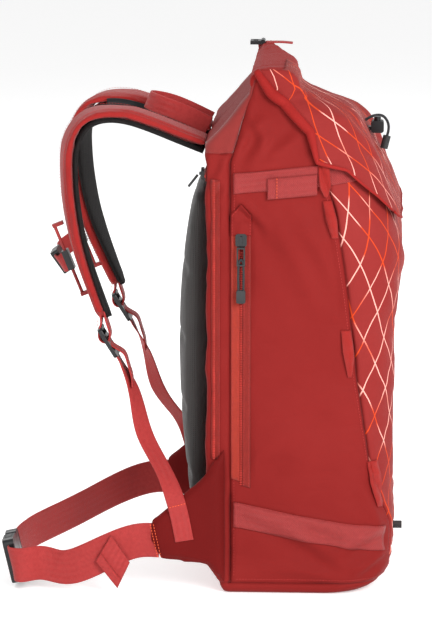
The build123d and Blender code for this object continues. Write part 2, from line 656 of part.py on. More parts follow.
def tool_cord():
    """Elastic cord from the flap, out over the side of its lock and down to its knob."""
    x = CORD_LOCK_AT[0] + CORD_LOCK[0] / 2 + TOOL_CORD / 2 + 1
    y = LOCK_BACK_Y
    corners = [(x, y + 10, LOCK_Z + 2), (x, y - 3, LOCK_Z + 9), (x, y - 13, LOCK_Z + 10),
               (x, y - 19, LOCK_Z + 3), (x, y - 20, LOCK_Z - 6), (x, y - 18.5, LOCK_Z - 12)]
    runs = [(Vector(corners[i + 1]) - Vector(corners[i])) for i in range(len(corners) - 1)]
    radii = []
    for first, second in zip(runs, runs[1:]):
        half_turn = first.get_angle(second) / 2
        radii.append(0.45 * min(first.length, second.length) / tan_degrees(half_turn))
    cord, line = cord_tube("tool cord", corners, radii, TOOL_CORD)
    cord -= bag(FLAP_GAP + FLAP_THICK)
    way = line % 1
    end = line @ 1
    knob = Plane(end + way * 7, z_dir=way) * Cylinder(4.2, 14)
    return {"tool_cord": cord, "tool_cord_knob": knob}


def tan_degrees(angle):
    """Tangent of an angle in degrees."""
    turned = Vector(1, 0, 0).rotate(Axis.Z, angle)
    return turned.Y / turned.X


def lower_tab():
    """Short black tab low on the front, for the spike of a tool."""
    tab = block((-9, FRONT_Y - 10, 42), (9, FRONT_Y + 6, 46))
    return tab - bag()


# Assembly

def parts():
    """Every node of the backpack by name."""
    nodes = bag_walls()
    nodes["back_pad"] = back_pad()
    nodes.update(frame_parts())
    nodes.update(lid())
    nodes.update(roll_fastener())
    nodes["chest_rails"] = chest_rails()
    nodes["chest_sliders"] = chest_sliders()
    nodes["haul_loop"] = haul_loop()
    nodes["gear_loops"] = gear_loops()
    buckles = (("waist", WAIST_BUCKLE, buckle_frame(BUCKLE_AT, BUCKLE_LEAN)),
               ("chest", CHEST_BUCKLE, buckle_frame(CHEST_BUCKLE_AT, CHEST_LEAN)))
    for name, size, frame in buckles:
        for piece, solid in side_release_buckle(size, frame).items():
            nodes[f"{name}_buckle_{piece}"] = solid
    for side, name in ((-1, "left"), (1, "right")):
        strap, lining = shoulder_strap(side)
        upper, lower = ski_straps(side)
        webbing = waist_webbing(side)
        nodes[f"{name}_shoulder_strap"] = strap
        nodes[f"{name}_strap_lining"] = lining
        nodes[f"{name}_end_tab"] = end_tab(side)
        nodes[f"{name}_ladder_lock"] = ladder_lock(side)
        nodes[f"{name}_load_webbing"] = load_webbing(side)
        nodes[f"{name}_waist_webbing"] = webbing
        nodes[f"{name}_hip_wing"] = hip_wing_blank(side) - webbing
        nodes[f"{name}_chest_webbing"] = chest_webbing(side)
        nodes[f"{name}_ski_strap_upper"] = upper
        nodes[f"{name}_ski_strap_lower"] = lower
    nodes["side_zip_tape"] = side_zip()
    nodes["side_zip_slider"] = side_slider()
    nodes["side_zip_ring"], nodes["side_zip_cord"], nodes["side_zip_grip"] = side_pull()
    nodes["back_zip_tape"] = back_zip()
    nodes["back_zip_slider"] = back_slider()
    nodes["back_zip_pull"] = back_pull()
    nodes.update(tool_holder())
    nodes.update(tool_cord())
    nodes["lower_tab"] = lower_tab()
    return nodes


os.makedirs("parts", exist_ok=True)
for node, solid in parts().items():
    export_step(solid, f"parts/{node}.step")
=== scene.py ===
import json
import bmesh
import bpy
import numpy as np
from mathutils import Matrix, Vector


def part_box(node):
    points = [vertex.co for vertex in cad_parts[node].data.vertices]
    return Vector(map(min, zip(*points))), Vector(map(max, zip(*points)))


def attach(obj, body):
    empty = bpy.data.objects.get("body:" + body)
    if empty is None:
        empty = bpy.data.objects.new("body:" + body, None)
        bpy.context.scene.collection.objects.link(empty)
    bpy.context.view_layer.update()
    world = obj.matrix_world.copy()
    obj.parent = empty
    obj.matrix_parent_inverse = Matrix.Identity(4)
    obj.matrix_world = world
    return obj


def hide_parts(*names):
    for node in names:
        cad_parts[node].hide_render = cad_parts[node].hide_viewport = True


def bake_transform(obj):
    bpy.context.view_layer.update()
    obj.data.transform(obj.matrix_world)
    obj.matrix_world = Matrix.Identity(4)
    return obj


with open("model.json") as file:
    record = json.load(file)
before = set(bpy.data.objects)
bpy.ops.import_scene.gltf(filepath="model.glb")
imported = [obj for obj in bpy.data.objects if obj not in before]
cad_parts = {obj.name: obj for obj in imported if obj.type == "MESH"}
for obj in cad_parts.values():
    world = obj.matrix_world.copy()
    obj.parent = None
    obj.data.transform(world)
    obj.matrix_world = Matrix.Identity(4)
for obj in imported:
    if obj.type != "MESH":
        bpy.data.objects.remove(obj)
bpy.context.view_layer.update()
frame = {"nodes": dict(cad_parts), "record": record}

MM = 0.001
UP = np.array([0, 0, 1.0])
BAG_MIDDLE = (0, 0, 250)
NODES = frame["nodes"]
PACK, LID = "pack", "lid"

# Camera: a long lens from the wearer's left, a little above.
AIM = Vector((0, 0.0924, 0.2733))
BACK = Vector((-0.9788, -0.0479, 0.1994))
camera = bpy.data.objects.new("camera", bpy.data.cameras.new("camera"))
camera.location = AIM + 4 * BACK
camera.rotation_euler = BACK.to_track_quat("Z", "Y").to_euler()
camera.data.lens = 204.5
camera.data.sensor_width = 36
camera.data.clip_end = 50
bpy.context.scene.collection.objects.link(camera)
bpy.context.scene.camera = camera
bpy.context.scene.view_settings.view_transform = "Standard"


# Meshes

def add(name, data, material=None):
    """New object in the scene, with its place in its mesh."""
    thing = bpy.data.objects.new(name, data)
    bpy.context.scene.collection.objects.link(thing)
    if material:
        data.materials.append(material)
    return thing


def fit(thing, body, slot, *replaced):
    """Ride on a body and stand for the named CAD nodes. The slot argument is not used."""
    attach(thing, body)
    if replaced:
        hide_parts(*replaced)
    return thing


def mesh_from(name, points, faces, material, uv=None):
    """Mesh from points in millimetres and quads; uv is one pair in metres for every point."""
    mesh = bpy.data.meshes.new(name)
    mesh.from_pydata((np.asarray(points).reshape(-1, 3) * MM).tolist(), [], faces)
    if uv is not None:
        corners = np.empty(len(mesh.loops), np.int32)
        mesh.loops.foreach_get("vertex_index", corners)
        layer = mesh.uv_layers.new(name="cloth")
        layer.data.foreach_set("uv", np.asarray(uv).reshape(-1, 2)[corners].ravel().astype(np.float32))
    mesh.polygons.foreach_set("use_smooth", np.full(len(mesh.polygons), True))
    mesh.update()
    return add(name, mesh, material)


def grid_faces(rows, columns, loop=False, cap=False):
    """Quads between neighbouring grid points, the columns joined round when loop is set."""
    i, j = np.meshgrid(np.arange(rows - 1), np.arange(columns if loop else columns - 1), indexing="ij")
    k = (j + 1) % columns
    faces = np.stack([i * columns + j, i * columns + k, (i + 1) * columns + k, (i + 1) * columns + j], -1)
    faces = faces.reshape(-1, 4).tolist()
    if cap:
        faces.append(list(range(columns))[::-1])
        faces.append(list(range((rows - 1) * columns, rows * columns)))
    return faces


def outward(thing):
    """Turn every face of a closed mesh outwards."""
    work = bmesh.new()
    work.from_mesh(thing.data)
    bmesh.ops.remove_doubles(work, verts=work.verts, dist=1e-6)
    bmesh.ops.recalc_face_normals(work, faces=work.faces)
    work.to_mesh(thing.data)
    work.free()
    return thing


def face_away(thing, pivot):
    """Turn an open sheet so that its faces look away from a point in millimetres."""
    mesh = thing.data
    centres = np.empty(len(mesh.polygons) * 3)
    normals = np.empty(len(mesh.polygons) * 3)
    mesh.polygons.foreach_get("center", centres)
    mesh.polygons.foreach_get("normal", normals)
    away = centres.reshape(-1, 3) - np.array(pivot) * MM
    if (away * normals.reshape(-1, 3)).sum() < 0:
        mesh.flip_normals()
    return thing


def thicken(thing, thick, offset=1.0, inner=None):
    """Give a sheet its thickness, growing outwards at offset 1 and inwards at -1."""
    shell = thing.modifiers.new("thickness", "SOLIDIFY")
    shell.thickness = thick * MM
    shell.offset = offset
    if inner:
        thing.data.materials.append(inner)
        shell.material_offset = 1
    return thing


def smooth_line(route, count):
    """Even points, directions and shares along a natural cubic spline through the route."""
    route = np.array(route, float)
    knots = np.r_[0, np.cumsum(np.linalg.norm(np.diff(route, axis=0), axis=1))]
    gaps = np.diff(knots)
    system = np.eye(len(route))
    right = np.zeros_like(route)
    for i in range(1, len(route) - 1):
        system[i, i - 1:i + 2] = gaps[i - 1], 2 * (gaps[i - 1] + gaps[i]), gaps[i]
        right[i] = 6 * ((route[i + 1] - route[i]) / gaps[i] - (route[i] - route[i - 1]) / gaps[i - 1])
    bend = np.linalg.solve(system, right)
    along = np.linspace(0, knots[-1], count)
    k = np.clip(np.searchsorted(knots, along, side="right") - 1, 0, len(route) - 2)
    gap = gaps[k][:, None]
    a = (knots[k + 1] - along)[:, None] / gap
    b = 1 - a
    points = a * route[k] + b * route[k + 1]
    points += ((a ** 3 - a) * bend[k] + (b ** 3 - b) * bend[k + 1]) * gap ** 2 / 6
    ways = np.gradient(points, axis=0)
    ways /= np.linalg.norm(ways, axis=1)[:, None]
    return points, ways, along / knots[-1], knots / knots[-1]


def strap_frame(route, sides, widths, count):
    """Centre line of a strap with its width direction, face direction and width at every step."""
    points, ways, share, marks = smooth_line(route, count)
    side = np.stack([np.interp(share, marks, column) for column in np.array(sides, float).T], -1)
    side -= ways * (side * ways).sum(1)[:, None]
    side /= np.linalg.norm(side, axis=1)[:, None]
    return points, ways, side, np.cross(ways, side), np.interp(share, marks, widths)


def band(name, route, sides, widths, thick, material, count=90):
    """Webbing: a flat profile with rounded edges carried along a smooth line through the route."""
    points, ways, side, face, width = strap_frame(route, sides, widths, count)
    across = np.array([-1, -0.97, -0.85, -0.4, 0, 0.4, 0.85, 0.97, 1, 0.97, 0.85, 0.4, 0, -0.4, -0.85, -0.97])
    depth = np.array([0, 0.75, 1, 0.94, 0.94, 0.94, 1, 0.75, 0, -0.75, -1, -0.94, -0.94, -0.94, -1, -0.75])
    half = width[:, None, None] / 2
    grid = points[:, None] + side[:, None] * across[None, :, None] * half
    grid += face[:, None] * (depth[None, :, None] * thick / 2)
    length = np.r_[0, np.cumsum(np.linalg.norm(np.diff(points, axis=0), axis=1))]
    uv = np.stack(np.broadcast_arrays(length[:, None], across[None] * width[:, None] / 2), -1) * MM
    thing = mesh_from(name, grid, grid_faces(count, 16, loop=True, cap=True), material, uv)
    return outward(thing), (points, ways, side, face, width)


STITCH_SHAPE = np.array([(t, np.cos(a) * r, np.sin(a) * r) for t, r in ((-0.5, 0.3), (0, 1), (0.5, 0.3))
                         for a in np.arange(6) * np.pi / 3])


def stitches(name, lines, material, pitch=3.2, long=2.3, thick=0.42):
    """Thread: a low six-sided spindle laid at every pitch along lines of points and normals."""
    blocks = []
    for points, normals in lines:
        points, normals = np.asarray(points, float), np.asarray(normals, float)
        length = np.r_[0, np.cumsum(np.linalg.norm(np.diff(points, axis=0), axis=1))]
        at = np.arange(pitch / 2, length[-1], pitch)
        centre = np.stack([np.interp(at, length, column) for column in points.T], -1)
        ahead = np.stack([np.interp(at + 0.5, length, column) for column in points.T], -1)
        behind = np.stack([np.interp(at - 0.5, length, column) for column in points.T], -1)
        up = np.stack([np.interp(at, length, column) for column in normals.T], -1)
        way = ahead - behind
        way /= np.linalg.norm(way, axis=1)[:, None] + 1e-9
        up -= way * (up * way).sum(1)[:, None]
        up /= np.linalg.norm(up, axis=1)[:, None] + 1e-9
        flat = np.cross(way, up)
        blocks.append(centre[:, None] + way[:, None] * STITCH_SHAPE[None, :, :1] * long
                      + flat[:, None] * STITCH_SHAPE[None, :, 1:2] * thick
                      + up[:, None] * STITCH_SHAPE[None, :, 2:] * thick)
    points = np.concatenate(blocks)
    one = np.array(grid_faces(3, 6, loop=True))
    starts = np.arange(len(points))[:, None, None] * 18
    faces = (one[None] + starts).reshape(-1, 4).tolist()
    return outward(mesh_from(name, points, faces, material))


# Finishes

class Finish:
    """Node material under construction."""

    def __init__(self, name, colour, roughness, **fixed):
        """Start from one colour and roughness, with other sockets set by name."""
        self.material = bpy.data.materials.new(name)
        self.material.use_nodes = True
        self.material.diffuse_color = (*colour, 1)
        self.tree = self.material.node_tree
        self.shader = self.tree.nodes["Principled BSDF"]
        self.shader.inputs["Base Color"].default_value = (*colour, 1)
        self.shader.inputs["Roughness"].default_value = roughness
        for socket, value in fixed.items():
            self.shader.inputs[socket.replace("_", " ")].default_value = value
        self.coordinates = self.tree.nodes.new("ShaderNodeTexCoord")

    def node(self, kind, feeds=None, **settings):
        """Add a node, set its properties, then link or set its sockets."""
        made = self.tree.nodes.new("ShaderNode" + kind)
        for key, value in settings.items():
            setattr(made, key, value)
        for socket, value in (feeds or {}).items():
            if isinstance(value, bpy.types.NodeSocket):
                self.tree.links.new(value, made.inputs[socket])
            else:
                made.inputs[socket].default_value = value
        return made

    def math(self, operation, first, second=0.0, clamp=False):
        """Result of one arithmetic step."""
        return self.node("Math", {0: first, 1: second}, operation=operation, use_clamp=clamp).outputs[0]

    def noise(self, scale, detail=3.0, space="Object", roughness=0.5):
        """Value of a noise with the given number of features to the metre."""
        feeds = {"Vector": self.coordinates.outputs[space], "Scale": scale, "Detail": detail,
                 "Roughness": roughness}
        return self.node("TexNoise", feeds).outputs["Fac"]

    def ramp(self, value, low, high, start=0.0, end=1.0):
        """Value carried from one range to another and held at its ends."""
        feeds = {"Value": value, "From Min": low, "From Max": high, "To Min": start, "To Max": end}
        return self.node("MapRange", feeds).outputs[0]

    def mix(self, share, first, second):
        """Colour between two colours or sockets."""
        made = self.node("Mix", data_type="RGBA")
        for socket, value in ((made.inputs[0], share), (made.inputs[6], first), (made.inputs[7], second)):
            if isinstance(value, bpy.types.NodeSocket):
                self.tree.links.new(value, socket)
            elif isinstance(value, tuple):
                socket.default_value = (*value, 1)
            else:
                socket.default_value = value
        return made.outputs[2]

    def join(self, value, socket):
        """Feed a socket of the shader."""
        self.tree.links.new(value, self.shader.inputs[socket])

    def bump(self, height, strength, distance, below=None):
        """Raise the surface by a height."""
        feeds = {"Height": height, "Strength": strength, "Distance": distance * MM}
        if below:
            feeds["Normal"] = below
        return self.node("Bump", feeds).outputs[0]


def waves(finish, space, pitch):
    """Sines of the two cloth directions, or of the three axes, one cycle to a pitch in millimetres."""
    split = finish.node("SeparateXYZ", {0: finish.coordinates.outputs[space]})
    turn = 2 * np.pi / (pitch * MM)
    return [finish.math("SINE", finish.math("MULTIPLY", split.outputs[i], turn))
            for i in range(2 if space == "UV" else 3)]


def woven(name, colour, worn, space="UV", pitch=1.1, roughness=0.62, relief=0.4, sheen=0.02, mottle=0.5):
    """Plain-weave cloth: crossed threads, slow fading, lint-fine grain and small waves."""
    finish = Finish(name, colour, roughness, Sheen_Weight=sheen, Sheen_Roughness=0.45,
                    Specular_IOR_Level=0.07)
    sines = waves(finish, space, pitch)
    weave = finish.math("MULTIPLY", sines[0], sines[1])
    if space == "Object":
        weave = finish.math("ADD", weave, finish.math("MULTIPLY", sines[1], sines[2]))
        weave = finish.math("ADD", weave, finish.math("MULTIPLY", sines[0], sines[2]))
    slow = finish.ramp(finish.noise(7, 4), 0.35, 0.68)
    fine = finish.ramp(finish.noise(420, 2), 0.3, 0.7)
    tone = finish.math("MULTIPLY", slow, mottle)
    tone = finish.math("ADD", tone, finish.math("MULTIPLY", fine, 0.18))
    tone = finish.math("ADD", tone, finish.math("MULTIPLY", weave, 0.1), clamp=True)
    finish.join(finish.mix(tone, colour, worn), "Base Color")
    finish.join(finish.ramp(fine, 0, 1, roughness - 0.06, roughness + 0.1), "Roughness")
    crumple = finish.bump(finish.noise(55, 3), 0.25, 1.4)
    finish.join(finish.bump(weave, relief, 0.12, crumple), "Normal")
    return finish


def webbing(name, colour, worn, rib=1.5, columns=3.2, roughness=0.5):
    """Herringbone webbing: slanting ribs along the length that turn back at every column."""
    finish = Finish(name, colour, roughness, Sheen_Weight=0.03, Sheen_Roughness=0.4, Specular_IOR_Level=0.2)
    split = finish.node("SeparateXYZ", {0: finish.coordinates.outputs["UV"]})
    zigzag = finish.math("PINGPONG", split.outputs[1], columns * MM)
    slant = finish.math("ADD", split.outputs[0], zigzag)
    ribs = finish.math("SINE", finish.math("MULTIPLY", slant, 2 * np.pi / (rib * MM)))
    ends = finish.math("SINE", finish.math("MULTIPLY", split.outputs[1], 2 * np.pi / (1.1 * MM)))
    height = finish.math("ADD", ribs, finish.math("MULTIPLY", ends, 0.4))
    fine = finish.ramp(finish.noise(300, 2), 0.3, 0.7)
    tone = finish.math("ADD", finish.ramp(ribs, -1, 1, 0, 0.55), finish.math("MULTIPLY", fine, 0.3), clamp=True)
    finish.join(finish.mix(tone, worn, colour), "Base Color")
    finish.join(finish.ramp(fine, 0, 1, roughness - 0.08, roughness + 0.1), "Roughness")
    finish.join(finish.bump(height, 0.7, 0.25), "Normal")
    return finish.material


def netted(name, colour, worn, line, pale):
    """Cloth with a printed net: two families of thin wavy lines that cross in tall diamonds."""
    finish = woven(name, colour, worn)
    uv = finish.coordinates.outputs["UV"]
    drift = finish.node("TexNoise", {"Vector": uv, "Scale": 14.0, "Detail": 1.0})
    shift = finish.node("VectorMath", {0: drift.outputs["Color"], 1: (0.5, 0.5, 0.5)}, operation="SUBTRACT")
    shift = finish.node("VectorMath", {0: shift.outputs[0], "Scale": 0.011}, operation="SCALE")
    moved = finish.node("VectorMath", {0: uv, 1: shift.outputs[0]}, operation="ADD")
    split = finish.node("SeparateXYZ", {0: moved.outputs[0]})
    wide = finish.math("DIVIDE", split.outputs[0], 0.0285)
    tall = finish.math("DIVIDE", split.outputs[1], 0.056)
    mask = None
    for operation in ("ADD", "SUBTRACT"):
        place = finish.math("FRACT", finish.math(operation, wide, tall))
        off = finish.math("ABSOLUTE", finish.math("SUBTRACT", place, 0.5))
        drawn = finish.ramp(off, 0.5 - 0.030, 0.5 - 0.020)
        mask = drawn if mask is None else finish.math("MAXIMUM", mask, drawn)
    lighter = finish.ramp(finish.noise(13, 1.0, "UV"), 0.50, 0.56)
    ink = finish.mix(lighter, line, pale)
    cloth = finish.shader.inputs["Base Color"].links[0].from_socket
    finish.join(finish.mix(mask, cloth, ink), "Base Color")
    return finish.material


def moulded(name, colour, roughness, coat=0.0, grain=900):
    """Moulded plastic: a fine mould grain, a slight haze and scuffed places."""
    finish = Finish(name, colour, roughness, Coat_Weight=coat, Coat_Roughness=0.15,
                    Specular_IOR_Level=0.3)
    grain_height = finish.noise(grain, 2)
    scuffs = finish.ramp(finish.noise(60, 4), 0.45, 0.75)
    lighter = tuple(min(1, 1.5 * c + 0.004) for c in colour)
    finish.join(finish.mix(scuffs, colour, lighter), "Base Color")
    finish.join(finish.ramp(scuffs, 0, 1, roughness, roughness + 0.18), "Roughness")
    finish.join(finish.bump(grain_height, 0.15, 0.06), "Normal")
    return finish.material


def metal(name, colour, roughness):
    """Drawn metal: long fine lines and a little tarnish."""
    finish = Finish(name, colour, roughness, Metallic=1.0)
    stretched = finish.node("Mapping", {"Vector": finish.coordinates.outputs["Object"], "Scale": (900, 900, 30)})
    lines = finish.node("TexNoise", {"Vector": stretched.outputs[0], "Scale": 1.0, "Detail": 3.0}).outputs["Fac"]
    finish.join(finish.ramp(lines, 0.3, 0.7, roughness - 0.05, roughness + 0.15), "Roughness")
    tarnish = finish.ramp(finish.noise(40, 3), 0.4, 0.7)
    finish.join(finish.mix(tarnish, colour, tuple(0.7 * c for c in colour)), "Base Color")
    return finish.material


def knitted(name, colour, deep):
    """Spacer mesh: a close field of small round holes."""
    finish = Finish(name, colour, 0.85, Sheen_Weight=0.02, Sheen_Roughness=0.5, Specular_IOR_Level=0.12)
    cells = finish.node("TexVoronoi", {"Vector": finish.coordinates.outputs["Object"], "Scale": 420.0,
                                       "Randomness": 0.35})
    holes = finish.ramp(cells.outputs["Distance"], 0.15, 0.5)
    finish.join(finish.mix(holes, deep, colour), "Base Color")
    finish.join(finish.bump(holes, 0.8, 0.5), "Normal")
    return finish.material


def braided(name, colour, light):
    """Braided cord: two slanting families of fine strands."""
    finish = Finish(name, colour, 0.6, Sheen_Weight=0.05, Sheen_Roughness=0.4, Specular_IOR_Level=0.25)
    split = finish.node("SeparateXYZ", {0: finish.coordinates.outputs["Object"]})
    first, second = (finish.math("SINE", finish.math("MULTIPLY", finish.math(way, split.outputs[1],
                                                                             split.outputs[2]), 5200))
                     for way in ("ADD", "SUBTRACT"))
    braid = finish.math("MAXIMUM", first, second)
    finish.join(finish.mix(finish.ramp(braid, -0.5, 1), colour, light), "Base Color")
    finish.join(finish.bump(braid, 0.6, 0.2), "Normal")
    return finish.material


RED = (0.172, 0.0098, 0.0088)
RED_WORN = (0.215, 0.0150, 0.0134)
shell = woven("shell cloth", RED, RED_WORN).material
shell_inner = woven("coated lining cloth", (0.19, 0.022, 0.020), (0.22, 0.03, 0.028), roughness=0.45).material
matte = woven("matte gusset cloth", (0.19, 0.022, 0.020), (0.235, 0.032, 0.029), pitch=1.6, relief=0.9,
              roughness=0.85, sheen=0.2).material
# Roll and flap hems: the shell red made lighter, painted light where the top catches the lamps from above
roll_shell_lit = woven("roll shell with painted light", (0.235, 0.0115, 0.0100), (0.28, 0.017, 0.015), space="Object").material
strap_cloth = woven("strap cloth", (0.25, 0.0135, 0.0125), (0.31, 0.021, 0.019), space="Object", pitch=1.6,
                    relief=0.8, roughness=0.7, sheen=0.15).material
# Hip wings: the shell red made darker, painted shade for the wings at the shaded rear
wing_shell_shaded = woven("wing shell with painted shade", (0.105, 0.0040, 0.0036), (0.140, 0.0065, 0.006), space="Object").material
printed = netted("printed net cloth", (0.205, 0.0165, 0.0150), (0.245, 0.024, 0.022), (0.56, 0.050, 0.010),
                 (0.80, 0.36, 0.30))
web_red = webbing("red webbing", (0.46, 0.047, 0.045), (0.27, 0.018, 0.017))
web_wide = webbing("ski strap webbing", (0.33, 0.038, 0.036), (0.20, 0.016, 0.016), rib=2.0)
ribbon_red = webbing("red ribbon", (0.38, 0.020, 0.015), (0.25, 0.011, 0.009), rib=0.9, columns=5)
tape_red = webbing("zip tape", (0.30, 0.024, 0.017), (0.18, 0.012, 0.010), rib=0.8, columns=20)
# Back tape of the side zip: a lighter copy of the same tape colour, painted light
tape_lit = webbing("zip tape with painted light", (0.42, 0.040, 0.020), (0.27, 0.02, 0.013), rib=0.8, columns=20)
coil_red = moulded("zip coil", (0.34, 0.022, 0.015), 0.42)
lining_black = knitted("black spacer mesh", (0.012, 0.010, 0.010), (0.004, 0.004, 0.004))
foam_grey = woven("grey pad cloth", (0.045, 0.043, 0.042), (0.075, 0.072, 0.07), space="Object", pitch=2.2,
                  relief=1.0, roughness=0.85, sheen=0.3).material
cord_black = braided("black cord", (0.008, 0.008, 0.009), (0.035, 0.035, 0.038))
buckle_black = moulded("black acetal", (0.006, 0.006, 0.007), 0.28, coat=0.15)
slider_black = moulded("black lacquer", (0.004, 0.004, 0.005), 0.14, coat=0.4)
rail_red = moulded("red rail", (0.20, 0.0125, 0.0115), 0.45)
trim_black = moulded("black rubber", (0.020, 0.020, 0.021), 0.55)
trim_web = webbing("black webbing", (0.022, 0.022, 0.024), (0.008, 0.008, 0.009), rib=1.2)
sheet_plastic = moulded("frame sheet", (0.05, 0.05, 0.052), 0.5)
alloy = metal("stay alloy", (0.72, 0.73, 0.75), 0.35)
steel = metal("spring steel", (0.55, 0.55, 0.56), 0.3)
thread_orange = moulded("orange thread", (0.72, 0.095, 0.030), 0.6)
thread_red = moulded("red thread", (0.34, 0.026, 0.024), 0.6)

CAD_FINISH = {"webbing_red": web_red, "rail_red": rail_red, "buckle_black": buckle_black, "trim_black": trim_black,
              "slider_black": slider_black, "frame_plastic": sheet_plastic, "stay_alloy": alloy,
              "spring_steel": steel, "cord_black": cord_black, "mesh_black": lining_black,
              "pad_grey": foam_grey, "shell_red": shell, "printed_red": printed, "matte_red": matte,
              "zip_red": tape_red}
for part in frame["record"]["subparts"]:
    for socket in NODES[part["node"]].material_slots:
        socket.material = CAD_FINISH[part["material_slot"]]


# Cords

def cord(name, points, diameter, material):
    """Round cord on one smooth open line."""
    curve = bpy.data.curves.new(name, "CURVE")
    curve.dimensions = "3D"
    curve.bevel_depth = diameter / 2 * MM
    curve.bevel_resolution = 5
    curve.use_fill_caps = True
    line = curve.splines.new("NURBS")
    line.points.add(len(points) - 1)
    line.points.foreach_set("co", np.c_[np.array(points) * MM, np.ones(len(points))].ravel())
    line.order_u = 3
    line.use_endpoint_u = True
    line.resolution_u = 12
    return add(name, curve, material)


TOOL_X = 10
TOOL_ROUTE = [(TOOL_X, y, z) for y, z in ((-64, 491.5), (-71, 496), (-78.5, 500.5), (-89, 501), (-95, 493),
                                          (-95.6, 484), (-93.7, 478))]
tool_cord = fit(cord("tool_cord_loop", TOOL_ROUTE, 3, cord_black), LID, "cord_black", "tool_cord")

ZIP_Y = 59.0
PULL_X = -144.2
PULL_ROUTE = [(PULL_X, ZIP_Y + y, z) for y, z in ((-2.6, 334), (-2.9, 345), (-2.8, 356), (-2.6, 365), (0, 368.5),
                                                  (2.6, 365), (2.8, 356), (2.9, 345), (2.6, 334))]
pull_cord = fit(cord("side_pull_cord", PULL_ROUTE, 2.6, cord_black), "side_zip_pull", "cord_black",
                "side_zip_cord")


# Bag: one surface, cut into its sewn panels

def step(value):
    """Smooth step from 0 to 1."""
    value = np.clip(value, 0, 1)
    return value * value * (3 - 2 * value)



SIDE_VIEW = np.array([(-104, 42), (-104, 300), (-112, 352), (-112, 372), (-105, 400), (-98, 424),
                      (-68, 490), (-50, 522), (-4, 540)], float)
SEAM_VIEW = np.array([(-102, 12), (-102, 63), (-97, 88), (-81, 136), (-66, 234), (-54, 331), (-40, 421),
                      (-22, 473), (-4, 540)], float)
REAR_SEAM = 71


def eased(values, marks, heights):
    """Values read off marks and rounded by averaging over the neighbouring heights."""
    return sum(np.interp(heights + d, marks, values) for d in (-9, -4.5, 0, 4.5, 9)) / 5


def front_of(z):
    """Front of the bag at a height: the side view's profile over a round toe."""
    z = np.asarray(z, float)
    toe = -104 + 42 - np.sqrt(np.clip(42 ** 2 - (42 - np.minimum(z, 42)) ** 2, 0, None))
    brim = np.where(z > 531, (z - 531) * 0.3, 0)
    return np.where(z < 42, toe, eased(SIDE_VIEW[:, 0], SIDE_VIEW[:, 1], z) + brim)


def rear_of(z):
    """Back of the bag at a height: upright, then sloping forward to the mouth."""
    z = np.asarray(z, float)
    heel = np.clip((31 - z) / 31, 0, 1)
    return 98 - 20 * heel ** 0.75 - np.clip(z - 488, 0, 52) * 46 / 52 - np.clip(z - 544, 0, None) * 0.35


def half_of(z):
    """Half width of the bag at a height: rounded in at the base, drawn in at the shoulders."""
    z = np.asarray(z, float)
    toe = np.where(z < 10, 10 - np.sqrt(np.clip(100 - (10 - np.minimum(z, 10)) ** 2, 0, None)), 0)
    return 137 - toe - np.clip(z - 470, 0, 70) * 18 / 70


def corner_of(z):
    """Front corner radius at a height."""
    return np.interp(z, [0, 60, 350, 430, 480, 510, 530, 540, 552, 570], [40, 60, 60, 60, 62, 58, 50, 44, 34, 14])


REAR_CORNER = 8


def seam_y(z):
    """Front seam at a height."""
    return eased(SEAM_VIEW[:, 0], SEAM_VIEW[:, 1], z)


def rear_seam_y(z):
    """Rear seam at a height: upright, then leaning forward along the gusset."""
    return REAR_SEAM - np.clip(np.asarray(z, float) - 470, 0, None) * 21 / 70


def girth(z):
    """Distance round the outline from the middle of the front to the middle of the back."""
    front, rear, half, corner = front_of(z), rear_of(z), half_of(z), corner_of(z)
    return (half - corner) + corner * np.pi / 2 + (rear - REAR_CORNER - front - corner) + \
        REAR_CORNER * np.pi / 2 + half - REAR_CORNER


def place(q, z):
    """Point and outward direction at a distance q round the left outline from the front's middle."""
    q, z = np.broadcast_arrays(np.asarray(q, float), np.asarray(z, float))
    side = np.where(q < 0, 1.0, -1.0)
    s = np.abs(q)
    front, rear, half, corner = front_of(z), rear_of(z), half_of(z), corner_of(z)
    first = half - corner
    second = first + corner * np.pi / 2
    third = second + rear - REAR_CORNER - front - corner
    fourth = third + REAR_CORNER * np.pi / 2
    turn = np.clip((s - first) / corner, 0, np.pi / 2)
    rear_turn = np.clip((s - third) / REAR_CORNER, 0, np.pi / 2)
    x = np.minimum(s, first) + corner * np.sin(turn)
    y = front + corner * (1 - np.cos(turn)) + np.clip(s - second, 0, third - second)
    x = x - REAR_CORNER * (1 - np.cos(rear_turn)) - np.clip(s - fourth, 0, None)
    y = y + REAR_CORNER * np.sin(rear_turn)
    angle = turn + rear_turn
    normal = np.stack([side * np.sin(angle), -np.cos(angle), np.zeros_like(z)], -1)
    return np.stack([side * x, y, z], -1), normal


def round_to(y, front, half, corner):
    """Distance round an outline to a given y: along the front, round the corner, then straight back."""
    turn = np.arccos(np.clip(1 - (y - front) / corner, -1, 1))
    return np.where(y < front + corner, half - corner + corner * turn,
                    half - corner + corner * np.pi / 2 + y - front - corner)


def q_of(y, z):
    """Distance round the left outline, from the front's middle, at which the outline has a given y."""
    return round_to(y, front_of(z), half_of(z), corner_of(z))


def slumped(points):
    """The wearer's right front shoulder sinks a little under the roll."""
    x, y, z = points[..., 0], points[..., 1], points[..., 2]
    sink = 17 * step((x + 50) / 150) * step((z - 480) / 62) * step((38 - y) / 36)
    return points - np.stack([0 * x, -0.35 * sink, sink], -1)


def pinched(points):
    """The roll's front draws back under its fasteners, most at the wearer's right end."""
    x, y, z = points[..., 0], points[..., 1], points[..., 2]
    back = (7 + 29 * step(x / 120)) * np.clip((47 - y) / 52, 0, 1) * step((z - 536) / 12)
    return points + np.stack([0 * x, back, 0 * x], -1)


rng = np.random.default_rng(7)
RIPPLES = [(rng.normal(size=3), rng.uniform(0, 6.28)) for _ in range(14)]


def ripple(points, length):
    """Smooth random waves of about a given length in millimetres, between about -1 and 1."""
    total = 0
    for way, phase in RIPPLES:
        total = total + np.sin(points @ (way / length * 4) + phase)
    return total / 5


FOLD_GAIN = 1.7


